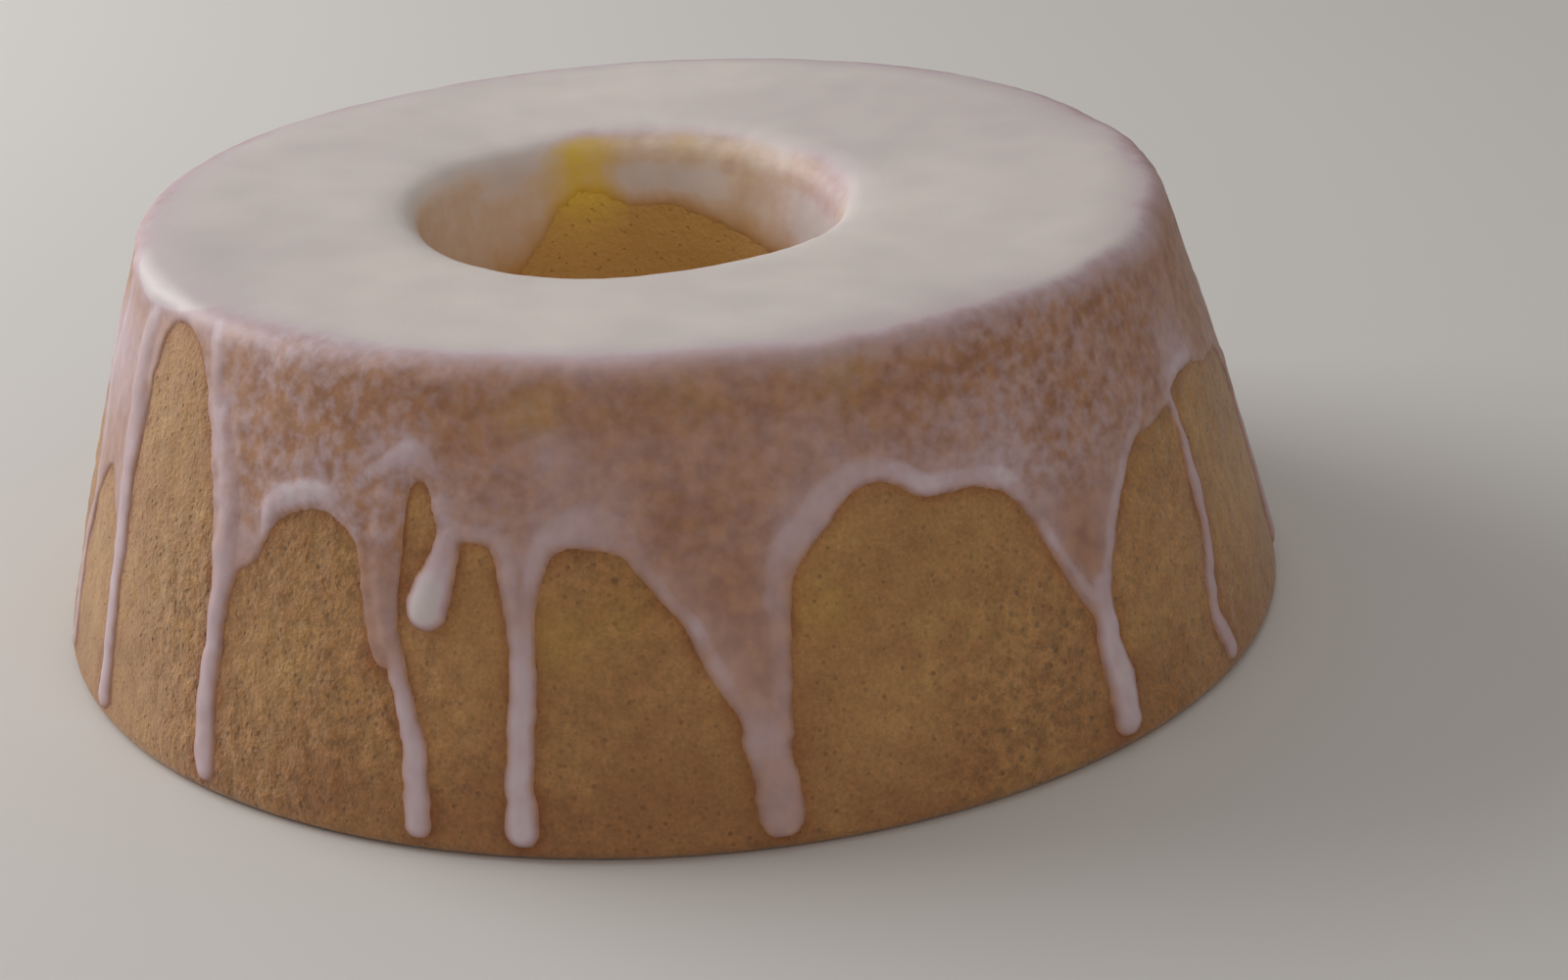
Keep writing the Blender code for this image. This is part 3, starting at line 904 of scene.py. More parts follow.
# Depths are below the top of the hole's wall. Above 0 is on the rounded lip.
HOLE_MARKS = (
    HoleMark(-180.0, -3.0, 13.0, 0.55, 0.94), HoleMark(-176.0, -2.5, 11.5, 0.25, 0.55),
    HoleMark(-172.0, -3.0, 10.0, 0.06, 0.10), HoleMark(-166.0, -3.0, 9.0, 0.02, 0.04),
    HoleMark(-160.0, -1.5, 12.0, 0.36, 0.32), HoleMark(-154.0, 0.5, 18.0, 0.82, 0.66),
    HoleMark(-144.0, 1.5, 24.0, 0.86, 0.50), HoleMark(-130.0, 0.5, 25.0, 0.60, 0.62),
    HoleMark(-112.0, 0.5, 25.0, 0.60, 0.60), HoleMark(-95.0, 1.5, 22.0, 0.55, 0.50),
    HoleMark(-60.0, 6.0, 14.0, 0.45, 0.40), HoleMark(0.0, 7.0, 11.0, 0.50, 0.40),
    HoleMark(45.0, 7.0, 15.0, 0.60, 0.50), HoleMark(75.0, 1.0, 24.0, 0.70, 0.90),
    HoleMark(95.0, -1.6, 24.0, 0.62, 0.92), HoleMark(118.0, -2.5, 23.0, 0.52, 0.92),
    HoleMark(132.0, -1.5, 20.5, 0.62, 0.62), HoleMark(144.0, -2.0, 18.0, 0.60, 0.56),
    HoleMark(156.0, -3.0, 15.5, 0.55, 0.88), HoleMark(168.0, -3.5, 13.0, 0.52, 0.95),
    HoleMark(180.0, -3.0, 13.0, 0.55, 0.94),
)

# How much lower than its mean the coat's edge lies round the rim, by azimuth.
RIM_MARKS = (
    (-180.0, 0.0), (-110.0, 0.0), (-75.0, 1.2), (-56.0, 0.6), (-48.0, 0.3), (-42.0, -1.2),
    (-22.0, -2.2), (0.0, -2.0), (12.0, -0.6), (30.0, 0.7), (60.0, 1.1), (90.0, -0.6), (120.0, -0.4),
    (180.0, 0.0),
)


class TopTone(NamedTuple):
    """A place where the coat looks whiter, or greyer if `change` is below 0."""

    x: float
    y: float
    radius: float
    change: float


# Spots on the coat. (45, -22) is a painted highlight right of the hole. (33, 12) is a tan spot with
# painted shade on the hole's right lip, and (-91, -34) painted shade on the left rim's roll, where the
# lamps light the coat brightly.
TOP_TONES = (
    TopTone(45.0, -22.0, 16.0, 0.30), TopTone(69.0, 41.0, 24.0, -0.25),
    TopTone(-58.0, -50.0, 15.0, 0.12), TopTone(-91.0, -34.0, 17.0, -0.90),
    TopTone(33.0, 12.0, 13.0, -0.9),
)


@dataclass(frozen=True)
class Fields:
    """The icing at a set of points: how far inside its edge they are, and its finish there."""

    inside: np.ndarray
    lift: np.ndarray
    opacity: np.ndarray
    lace: np.ndarray


class Coat(NamedTuple):
    """The coat at a set of points: the share it covers, how white it looks, its thickness."""

    cover: np.ndarray
    white: np.ndarray
    thickness: np.ndarray


@dataclass(frozen=True)
class Laid:
    """Places on the crust, and what the streams have given them.

    `inside` is how far inside any stream a place is, `lift` is the streams'
    thickness there, and `clear` the share of what lies below that shows through.
    """

    at: Spots
    wander: np.ndarray
    blotch: np.ndarray
    inside: np.ndarray
    lift: np.ndarray
    clear: np.ndarray


@dataclass(frozen=True)
class IcingFlow:
    """The coat on top, the film that ran down the side, and the streams on it.

    Where a field is two numbers, they are a hump's centre and its width, or where
    a change starts and how long it takes.
    """

    form: RingForm
    far_side: FarSide = FarSide()
    # Thicknesses, and how the icing ends at its edge.
    top_thickness: float = 1.9
    rim_thickness: float = 1.2
    film_thickness: float = 0.40
    edge_round: float = 0.6
    edge_fade: float = 0.35
    join_round: float = 1.5
    lift_round: float = 0.35
    foot_taper: tuple[float, float] = (0.4, 2.4)
    sink_share: float = 0.8
    sink_most: float = 1.0
    floor_gap: float = 0.8
    # The coat, from the hole's lip to past the rim.
    coat_past_rim: float = 3.6
    coat_fall: float = 4.6
    white_fall: float = 9.6
    rim_thins: tuple[float, float] = (6.0, 8.0)
    lip_thins: tuple[float, float] = (5.0, 9.0)
    # Greyer, pinker coat before the rim: thinner icing, and painted rim shade.
    thinned_and_shaded_before_rim: float = 9.0
    thinned_and_shaded_white: float = 0.14
    right_of_front: tuple[float, float] = (52.0, 24.0)
    less_at_right: float = 0.8
    hole_lip_from: float = 2.0
    hole_lip_fall: float = 3.0
    hole_white_fall: float = 4.5
    # How the film's white changes down the hole's wall, by the share of its depth there.
    wall_changes: tuple[float, float] = (0.15, 0.30)
    wall_fades: tuple[float, float] = (0.58, 0.42)
    wall_faded: float = 0.92
    # Where the side's edge goes over from the front's to the far side's.
    front_until: float = 76.0
    front_blend: float = 8.0
    edge_blur: float = 0.35
    # How white the film is on the side.
    film_white: float = 0.12
    thinnest_white: float = 0.04
    fainter: float = 0.08
    fainter_at: tuple[float, float] = (72.5, 3.5)
    gathered_white: float = 0.09
    gathered_reach: float = 3.5
    # The streams, and the faint halo beside each.
    stream_reach: float = 8.0
    stream_join: float = 1.2
    stream_lift_join: float = 0.3
    stream_power: float = 0.75
    blotch_share: float = 0.55
    halo: float = 0.30
    halo_reach: float = 2.4
    most_covered: float = 0.97
    # How lacy the film is. The front's laces are a strength, an azimuth and a width.
    lace_everywhere: float = 0.10
    lace_in_front: float = 0.34
    lace_behind: float = 0.28
    lace_in_hole: float = 0.12
    lace_from: tuple[float, float] = (40.0, 14.0)
    behind_from: tuple[float, float] = (75.0, 20.0)
    front_laces: tuple[tuple[float, float, float], ...] = ((1.0, -36.0, 15.0), (0.8, 40.0, 19.0))
    # Unevenness: of the edge, of the streams, of the coat's rim and top, and of the white.
    ripple: tuple[Noise, ...] = (Noise(0.6, 7.0, 5.3), Noise(0.35, 2.6, 8.1))
    wander: tuple[Noise, ...] = (Noise(0.55, 6.0, 17.7), Noise(0.35, 2.8, 3.9))
    blotch: tuple[Noise, ...] = (Noise(1.0, 4.5, 26.3), Noise(0.6, 1.9, 7.7))
    droop: tuple[Noise, ...] = (Noise(1.5, 16.0, 14.2), Noise(0.8, 5.0, 2.2))
    wave: tuple[Noise, ...] = (Noise(0.55, 34.0, 9.4), Noise(0.22, 12.0, 1.9))
    cloud: Noise = Noise(0.10, 13.0, 31.7)
    lace_places: Noise = Noise(0.9, 40.0, 3.1)
    gathering: Noise = Noise(0.10, 8.0, 55.0)
    wall_cloud: Noise = Noise(0.10, 6.0, 4.4)

    def __post_init__(self) -> None:
        """Joins the front's streams and the far side's."""
        keep = object.__setattr__
        keep(self, "far_run", self.far_side.whole_edge())
        keep(self, "streams", [*FRONT_STREAMS, *self.far_side.streams(self)])

    def far_edge_height(self, turned: np.ndarray) -> np.ndarray:
        """How high the film's edge is on the side that faces away.

        Args:
            turned: Azimuths in degrees, from the last front drip round to the first.

        Returns:
            Heights in millimetres.
        """
        height = np.full_like(turned, 50.0)
        for (drip, arch), (following, _) in pairwise(self.far_run):
            start, end = drip.azimuth, following.azimuth
            crest = start + (end - start) * arch.lean
            left = (turned >= start) & (turned < crest)
            right = (turned >= crest) & (turned < end)
            fall = ((crest - turned[left]) / (crest - start)) ** arch.left_power
            height[left] = arch.height - (arch.height - drip.junction) * fall
            fall = ((turned[right] - crest) / (end - crest)) ** arch.right_power
            height[right] = arch.height - (arch.height - following.junction) * fall
        return height

    def edge_height(self, azimuth: np.ndarray) -> np.ndarray:
        """How high the film's lower edge is.

        Args:
            azimuth: In degrees.

        Returns:
            Heights in millimetres.
        """
        wrapped = from_front(np.asarray(azimuth, float))
        knots = np.array(FRONT_EDGE)
        shifts = (-self.edge_blur, 0.0, self.edge_blur)
        near = [np.interp(wrapped + shift, *knots.T) for shift in shifts]
        front = sum(near) / len(near)
        far = self.far_edge_height(np.where(wrapped < 0.0, wrapped + TURN, wrapped))
        behind = smooth_step((np.abs(wrapped) - self.front_until) / self.front_blend)
        return front + (far - front) * behind

    def film_inside(self, at: Spots, ripple: float | np.ndarray) -> np.ndarray:
        """How far inside the film's lower edge each place is.

        Args:
            at: The places.
            ripple: Unevenness of the edge, in millimetres.

        Returns:
            Distances in millimetres, below 0 outside the film.
        """
        step = 0.25
        before, edge, after = (
            self.form.path_at(self.edge_height(at.azimuth + shift)) for shift in (-step, 0.0, step)
        )
        slope = (after - before) / (np.radians(2.0 * step) * at.radius)
        return (edge + ripple - at.path) / np.sqrt(1.0 + slope * slope)

    def add_stream(self, stream: Stream, laid: Laid) -> None:
        """Lays one stream over those so far.

        Args:
            stream: The stream.
            laid: The places and their fields, which are updated.
        """
        path = laid.at.path
        knots = stream.knots(self.form)
        margin = self.stream_reach
        reach = math.degrees((knots[:, 2].max() + margin) / self.form.top_radius)
        centre = (knots[:, 0].min() + knots[:, 0].max()) / 2.0
        spread = (knots[:, 0].max() - knots[:, 0].min()) / 2.0 + reach
        offset = from_front(laid.at.azimuth - centre)
        near = (
            (np.abs(offset) < spread)
            & (path > knots[:, 1].min() - margin)
            & (path < knots[:, 1].max() + margin)
        )
        if not near.any():
            return
        x_scale = np.radians(1.0) * laid.at.radius[near]
        px = offset[near] + laid.wander[near] / x_scale
        py = path[near]
        best = np.full(px.shape, -1e9)
        half = np.ones_like(px)
        white = np.zeros_like(px)
        for start, end in pairwise(knots):
            ax = (start[0] - centre - px) * x_scale
            ay = start[1] - py
            bx = (end[0] - start[0]) * x_scale
            by = end[1] - start[1]
            share = np.clip(-(ax * bx + ay * by) / (bx * bx + by * by + 1e-9), 0.0, 1.0)
            width = start[2] + (end[2] - start[2]) * share
            depth = width - np.hypot(ax + bx * share, ay + by * share)
            nearer = depth > best
            best = np.where(nearer, depth, best)
            half = np.where(nearer, width, half)
            white = np.where(nearer, start[3] + (end[3] - start[3]) * share, white)
        ratio = np.clip(1.0 - best / half, 0.0, 1.0)
        cap = (1.0 - ratio * ratio) ** self.stream_power
        laid.inside[near] = smooth_max(laid.inside[near], best, self.stream_join)
        lift = half * stream.lift_share * cap
        laid.lift[near] = smooth_max(laid.lift[near], lift, self.stream_lift_join)
        white = white * (1.0 + self.blotch_share * laid.blotch[near] * (1.0 - white))
        halo = self.halo * np.exp(np.minimum(best, 0.0) / self.halo_reach)
        cover = np.clip(white, 0.0, 1.0) * np.maximum(smooth_step(cap * 1.1), halo)
        laid.clear[near] = np.minimum(laid.clear[near], 1.0 - self.most_covered * cover)

    def streams_at(self, at: Spots, wander: np.ndarray, blotch: np.ndarray) -> Laid:
        """Lays every stream.

        Args:
            at: The places.
            wander: How far aside each place is taken to be, for uneven edges.
            blotch: Unevenness of the streams' white.

        Returns:
            The places with the streams' fields.
        """
        none = np.zeros_like(at.path)
        laid = Laid(at, wander, blotch, inside=none - 1e3, lift=none, clear=none + 1.0)
        for stream in self.streams:
            self.add_stream(stream, laid)
        return laid

    def film_opacity(self, at: Spots) -> tuple[np.ndarray, np.ndarray]:
        """How white the film on the side is, and how lacy.

        Args:
            at: The places.

        Returns:
            Opacity, and the strength of the lace pattern in it.
        """
        height = at.height
        opacity = self.film_white + uneven(at.points, self.cloud)
        opacity -= self.fainter * hump(height, *self.fainter_at)
        for patch in PATCHES:
            across = np.radians(from_front(at.azimuth - patch.azimuth)) * at.radius
            near = hump(across, 0.0, patch.radius) * hump(height, patch.height, patch.radius)
            opacity += patch.change * near
        in_front = np.max(
            [most * hump(at.azimuth, *where) for most, *where in self.front_laces], axis=0
        )
        places = 0.5 + uneven(at.points, self.lace_places)
        start, length = self.behind_from
        behind = np.clip(smooth_step((np.abs(at.azimuth) - start) / length) * places, 0.0, 1.0)
        lace = self.lace_everywhere + self.lace_in_front * in_front + self.lace_behind * behind
        start, length = self.lace_from
        lace *= smooth_step((height - start) / length)
        return np.clip(opacity, self.thinnest_white, 1.0), lace

    def rim_thinning_and_shade(self, at: Spots) -> np.ndarray:
        """How far the coat is thinned before the rim, and painted with rim shade.

        Args:
            at: The places.

        Returns:
            A share for each, least at the front's right.
        """
        thinned = 1.0 - self.less_at_right * hump(at.azimuth, *self.right_of_front)
        start = self.form.rim_arc[0] - self.thinned_and_shaded_before_rim
        return thinned * smooth_step((at.path - start) / self.thinned_and_shaded_before_rim)

    def coat_at(self, at: Spots) -> Coat:
        """The coat on the top, up to its edge past the rim.

        Args:
            at: The places.

        Returns:
            The coat there.
        """
        rim_start = self.form.rim_arc[0]
        edge = rim_start + self.coat_past_rim + np.interp(at.azimuth, *np.array(RIM_MARKS).T)
        short_of_edge = edge + uneven(at.points, *self.droop) - at.path
        cover = smooth_step(short_of_edge / self.coat_fall + 0.5)
        white = smooth_step(short_of_edge / self.white_fall + 0.35)
        # Greyer before the rim: thinner coat, and painted rim shade.
        white = white * (1.0 - self.thinned_and_shaded_white * self.rim_thinning_and_shade(at))
        before, length = self.rim_thins
        at_rim = smooth_step((at.path - rim_start + before) / length)
        before, length = self.lip_thins
        at_lip = smooth_step((self.form.hole_arc[1] + before - at.path) / length)
        thin = np.maximum(at_rim, at_lip)
        thickness = self.top_thickness + uneven(at.points, *self.wave) * (1.0 - 0.5 * thin)
        thickness += (self.rim_thickness - self.top_thickness) * thin
        return Coat(cover, white, thickness)

    def fields(self, at: Spots) -> Fields:
        """Works out the icing at each place.

        Args:
            at: The places.

        Returns:
            The icing's fields there.
        """
        form, path, height, points = self.form, at.path, at.height, at.points

        # The side: film and streams. The top: the coat.
        ripple = uneven(points, *self.ripple)
        film = self.film_inside(at, ripple)
        laid = self.streams_at(at, uneven(points, *self.wander), uneven(points, *self.blotch))
        inside = smooth_max(film, laid.inside, self.join_round)
        inside = np.minimum(inside, height - self.floor_gap)
        cover, white, thickness = self.coat_at(at)

        # In the hole: the coat's lip, and the thin film that runs on past it.
        marks = np.array(HOLE_MARKS).T
        corner = form.path_at_hole_top()
        coat_depth, film_depth, at_lip, halfway = (
            np.interp(at.azimuth, marks[0], mark) for mark in marks[1:]
        )
        lip = path - (corner - coat_depth) + ripple
        in_hole = path < form.hole_arc[1] + self.hole_lip_from
        inside = np.where(in_hole, path - (corner - film_depth) + ripple, inside)
        cover = np.where(in_hole, smooth_step(lip / self.hole_lip_fall + 0.5), cover)
        white = np.where(in_hole, smooth_step(lip / self.hole_white_fall + 0.5), white)

        # How far the icing stands off the crust. Outside its edge it sinks below it.
        body = self.film_thickness * (1.0 - np.exp(-np.maximum(inside, 0.0) / self.edge_round))
        body = body + (thickness - self.film_thickness) * cover
        start, length = self.foot_taper
        body = smooth_max(body, laid.lift, self.lift_round) * smooth_step((height - start) / length)
        sunk = np.maximum(inside * self.sink_share, -self.sink_most)
        lift = np.where(inside > 0.0, body, sunk)

        # How white it looks.
        opacity, lace = self.film_opacity(at)
        gathered = np.maximum(self.gathered_white + uneven(points, self.gathering), 0.0)
        opacity += gathered * np.exp(-np.maximum(film, 0.0) / self.gathered_reach)
        share = (corner - path) / film_depth
        start, length = self.wall_changes
        in_wall = at_lip + (halfway - at_lip) * smooth_step((share - start) / length)
        start, length = self.wall_fades
        in_wall *= 1.0 - self.wall_faded * smooth_step((share - start) / length)
        in_wall += uneven(points, self.wall_cloud)
        opacity = np.where(in_hole, in_wall, opacity)
        lace = np.where(in_hole, self.lace_in_hole, lace)
        opacity = 1.0 - (1.0 - opacity) * laid.clear
        opacity = opacity + (1.0 - opacity) * white
        lace = lace * (1.0 - white) * np.clip(laid.clear * 1.1, 0.0, 1.0)
        edge = 1.0 - np.exp(-np.maximum(inside, 0.0) / self.edge_fade)
        return Fields(inside, lift, np.clip(opacity, 0.0, 1.0) * edge, lace)


# --------------------------------------------------------------------- finishes


@dataclass(frozen=True)
class BakedCrust:
    """Sponge cake's baked skin, turned out of a smooth tin.

    Close up it is a matt golden brown, uneven in tone, with pores and a fine crumb. Beside the icing's
    edge it is darker and redder, for icing that seeped in and as painted shadow under the edge. Low on
    the front it is browner, partly as painted shade. Its pores and the crumb's hollows are darker, as
    painted shade, and in the hole it is paler, as painted light against the hole's shade.
    A sponge's finest crumb is under half a millimetre wide. The grain and the
    pores are drawn a little coarser, so that they still show.
    """

    golden: str = "#bf8f5b"
    toasted: str = "#a37247"
    yellow: str = "#bf925a"
    # Red brown of the toast, which also carries painted shade low on the front.
    red_brown: str = "#9a683f"
    egg_yellow: str = "#f0cc50"
    # Paler golden crust for the hole: painted light against the hole's shade.
    in_hole: str = "#dbae62"
    # Darker beside the icing's edge: icing that seeped in, and painted shadow under the edge.
    soaked_and_shaded: str = "#d9b9a6"
    # Dark pore colour: painted shade in the pits.
    pore_shade: str = "#7c5433"
    roughness: float = 0.66
    specular: float = 0.35
    sheen: float = 0.25
    sheen_roughness: float = 0.45
    patch_size: float = 26.0
    mottle_size: float = 4.4
    mottle_share: float = 0.55
    grain_size: float = 0.8
    crumb_size: float = 2.2
    pore_spacing: float = 2.1

    def build(self) -> bpy.types.Material:
        """Makes the crust's material.

        Returns:
            The material, with its nodes.
        """
        # Matt, uneven golden brown, with pores, a fine grain and darker, redder places.
        made = bpy.data.materials.new("baked_sponge_crust")
        made.use_nodes = True
        tree = made.node_tree
        shader = tree.nodes["Principled BSDF"]
        where = add_node(tree, "ShaderNodeTexCoord").outputs["Object"]
        toast_and_shade, soak_and_shade, crumb, gold, in_hole = (
            add_node(tree, "ShaderNodeAttribute", {"attribute_name": layer.value}).outputs["Fac"]
            for layer in (Layer.TOAST_AND_SHADE, Layer.SOAK_AND_SHADE, Layer.CRUMB, Layer.GOLD, Layer.HOLE_LIGHT)
        )

        # Patterns: broad patches, mottling, a fine grain, the open crumb and the pores.
        patch, mottle, grain, crumbs = (
            add_node(
                tree, "ShaderNodeTexNoise",
                sockets={
                    "Vector": where, "Scale": 1.0 / (size * MM), "Detail": detail,
                    "Roughness": roughness,
                },
            ).outputs["Fac"]
            for size, detail, roughness in (
                (self.patch_size, 2.0, 0.5), (self.mottle_size, 4.0, 0.5),
                (self.grain_size, 3.0, 0.6), (self.crumb_size, 3.0, 0.6),
            )
        )
        pores = add_node(
            tree, "ShaderNodeTexVoronoi", {"feature": "F1"},
            {"Vector": where, "Scale": 1.0 / (self.pore_spacing * MM)},
        )
        patch_share, mottle_share = (
            add_node(
                tree, "ShaderNodeMapRange", {"interpolation_type": "SMOOTHSTEP"},
                {"Value": pattern, **ends},
            ).outputs["Result"]
            for pattern, ends in ((patch, span(0.36, 0.64)), (mottle, span(0.40, 0.68)))
        )
        grain_light, pit_reach, pit_darkness, crumb_swing = (
            add_node(tree, "ShaderNodeMapRange", sockets={"Value": value, **ends}).outputs["Result"]
            for value, ends in (
                (grain, span(0.30, 0.70, 0.84, 1.16)), (crumb, span(0.0, 1.0, 0.16, 0.36)),
                (crumb, span(0.0, 1.0, 0.14, 0.44)), (crumbs, span(0.34, 0.66, -0.36, 0.30)),
            )
        )
        pit = add_node(
            tree, "ShaderNodeMapRange", {"interpolation_type": "SMOOTHSTEP"},
            {"Value": pores.outputs["Distance"], **span(0.06, 1.0, 1.0, 0.0), "From Max": pit_reach},
        ).outputs["Result"]
        darkening, pit_shade, crumb_height = (
            add_node(
                tree, "ShaderNodeMath", {"operation": "MULTIPLY"}, {0: first, 1: second}
            ).outputs["Value"]
            for first, second in ((mottle_share, self.mottle_share), (pit, pit_darkness), (crumbs, crumb))
        )
        # The crumb's tone follows its bumps: crumb colour, with painted shade in the hollows and
        # painted light on the raised crumbs.
        crumb_tone_and_shade = add_node(
            tree, "ShaderNodeMath", {"operation": "MULTIPLY_ADD"}, {0: crumb_swing, 1: crumb, 2: 1.0}
        ).outputs["Value"]

        # Each colour goes over those before it. A tone then makes the result lighter or darker: the
        # grain's own, and the crumb's, with painted shade in its hollows and painted light on its
        # crumbs.
        colour = srgb(self.golden)
        for share, over, blend, light in (
            (patch_share, self.yellow, "MIX", None), (darkening, self.toasted, "MIX", None),
            # The toast has painted shade low on the front; the soak darkens beside the icing's edge, as
            # seeped-in icing and painted shadow.
            (toast_and_shade, self.red_brown, "MIX", None), (soak_and_shade, self.soaked_and_shaded, "MULTIPLY", grain_light),
            # Pores: painted shade in the pits. The hole's share: painted light against the hole's
            # shade.
            (pit_shade, self.pore_shade, "MIX", crumb_tone_and_shade), (in_hole, self.in_hole, "MIX", None),
            (gold, self.egg_yellow, "MIX", None),
        ):
            colour = add_node(
                tree, "ShaderNodeMix", {"data_type": "RGBA", "blend_type": blend},
                {0: share, 6: colour, 7: srgb(over)},
            ).outputs[2]
            if light is not None:
                colour = add_node(
                    tree, "ShaderNodeVectorMath", {"operation": "SCALE"}, {0: colour, "Scale": light},
                ).outputs["Vector"]
        # Bumps in millimetres, coarsest first. The pores go inwards.
        bumps = {}
        for height, depth, strength, inwards in (
            (mottle, 0.5, 0.8, False), (grain, 0.30, 0.9, False), (crumb_height, 1.1, 0.9, False),
            (pit, 0.30, 0.8, True),
        ):
            sockets = {"Height": height, "Distance": depth * MM, "Strength": strength, **bumps}
            bump = add_node(tree, "ShaderNodeBump", {"invert": inwards}, sockets)
            bumps = {"Normal": bump.outputs["Normal"]}
        fill(
            tree, shader,
            {
                "Base Color": colour, "Roughness": self.roughness, "Specular IOR Level": self.specular,
                "Sheen Weight": self.sheen, "Sheen Roughness": self.sheen_roughness, **bumps,
            },
        )
        return made


@dataclass(frozen=True)
class SugarIcing:
    """Icing sugar stirred with orange juice and poured, now set.

    Thick, it is a soft satin white. As a film it lets the crust, wet with icing, through and looks
    pinkish grey, in places broken up like lace. In the hole both are drawn paler, as painted light
    against the hole's shade. Icing sugar's own grain is far too fine to see, so it is drawn 0.7 mm
    wide.
    """

    thick: str = "#efe4dd"
    # Greyer coat: its random tone, the thinner coat at the rim, and painted shade at the rim and on
    # lamp-lit spots.
    greyer: str = "#d8cecb"
    thin: str = "#d6c0c9"
    under: str = "#b98866"
    under_dark: str = "#a07258"
    # Crust under the film in the hole, paler: painted light against the hole's shade.
    under_painted_light: str = "#d9ab66"
    under_gold: str = "#f0cc50"
    # Tan film in the hole, lighter than on the side: painted light against the hole's shade.
    tan_painted_light: str = "#efdcc4"
    lace_size: float = 2.4
    ground_size: float = 3.5
    sugar_grain: float = 0.7
    film_roughness: float = 0.54
    coat_roughness: float = 0.47
    specular: float = 0.40
    glow: float = 0.12
    glow_depth: float = 1.5
    glow_by_channel: tuple[float, float, float] = (1.0, 0.7, 0.5)

    def build(self) -> bpy.types.Material:
        """Makes the icing's material.

        Returns:
            The material, with its nodes.
        """
        # Soft satin white where it is thick, pinkish grey and lacy where it is a film.
        made = bpy.data.materials.new("set_sugar_icing")
        made.use_nodes = True
        tree = made.node_tree
        shader = tree.nodes["Principled BSDF"]
        where = add_node(tree, "ShaderNodeTexCoord").outputs["Object"]
        opacity, lace, in_hole, gold, tone = (
            add_node(tree, "ShaderNodeAttribute", {"attribute_name": layer.value}).outputs["Fac"]
            for layer in (Layer.OPACITY, Layer.LACE, Layer.HOLE_LIGHT, Layer.GOLD, Layer.TONE)
        )
        threads, ground, sugar = (
            add_node(
                tree, "ShaderNodeTexNoise",
                sockets={"Vector": where, "Scale": 1.0 / (size * MM), "Detail": detail},
            ).outputs["Fac"]
            for size, detail in (
                (self.lace_size, 2.0), (self.ground_size, 4.0), (self.sugar_grain, 2.0)
            )
        )
        swing, ground_share = (
            add_node(tree, "ShaderNodeMapRange", sockets={"Value": pattern, **ends}).outputs["Result"]
            for pattern, ends in ((threads, span(0.32, 0.68, -0.50, 0.55)), (ground, span(0.35, 0.65)))
        )
        # The lace makes the film more and less opaque.
        laced = add_node(
            tree, "ShaderNodeMath", {"operation": "MULTIPLY_ADD", "use_clamp": True},
            {0: swing, 1: lace, 2: opacity},
        ).outputs["Value"]
        flecks = add_node(
            tree, "ShaderNodeMath", {"operation": "MULTIPLY"}, {0: threads, 1: lace}
        ).outputs["Value"]
        veil_share, body_share, gloss = (
            add_node(
                tree, "ShaderNodeMapRange", {"interpolation_type": kind}, {"Value": laced, **ends}
            ).outputs["Result"]
            for kind, ends in (
                ("LINEAR", span(0.0, 0.8)), ("SMOOTHSTEP", span(0.6, 1.0)),
                ("LINEAR", span(0.0, 1.0, self.film_roughness, self.coat_roughness)),
            )
        )

        # From below: the crust wet with icing, paler in the hole as painted light, the see-through film
        # over it, the thick icing.
        film, white = (
            add_node(
                tree, "ShaderNodeMix", {"data_type": "RGBA"},
                {0: share, 6: srgb(colour), 7: srgb(other)},
            ).outputs[2]
            for share, colour, other in (
                # The hole's share gives the film its tan, lighter there as painted light.
                (in_hole, self.thin, self.tan_painted_light), (tone, self.greyer, self.thick)
            )
        )
        colour = srgb(self.under)
        for share, over in (
            # The hole's share makes the crust under the film paler: painted light against the hole's
            # shade.
            (ground_share, srgb(self.under_dark)), (in_hole, srgb(self.under_painted_light)),
            (gold, srgb(self.under_gold)), (veil_share, film), (body_share, white),
        ):
            colour = add_node(
                tree, "ShaderNodeMix", {"data_type": "RGBA"}, {0: share, 6: colour, 7: over}
            ).outputs[2]
        # Bumps in millimetres: the lace, then the sugar's grain.
        bumps = {}
        for height, depth, strength in ((flecks, 0.6, 0.7), (sugar, 0.05, 0.6)):
            sockets = {"Height": height, "Distance": depth * MM, "Strength": strength, **bumps}
            bump = add_node(tree, "ShaderNodeBump", sockets=sockets)
            bumps = {"Normal": bump.outputs["Normal"]}
        fill(
            tree, shader,
            {
                "Base Color": colour, "Roughness": gloss, "Specular IOR Level": self.specular,
                "Subsurface Weight": self.glow, "Subsurface Radius": self.glow_by_channel,
                "Subsurface Scale": self.glow_depth * MM, **bumps,
            },
        )
        return made


# --------------------------------------------------------------------- the cake


class BrownedAndShaded(NamedTuple):
    """A place on the side that is drawn browner, for browner baking and as painted shade: its azimuth
    and height, and how far each reaches.
    """

    azimuth: tuple[float, float]
    height: tuple[float, float]
    change: float


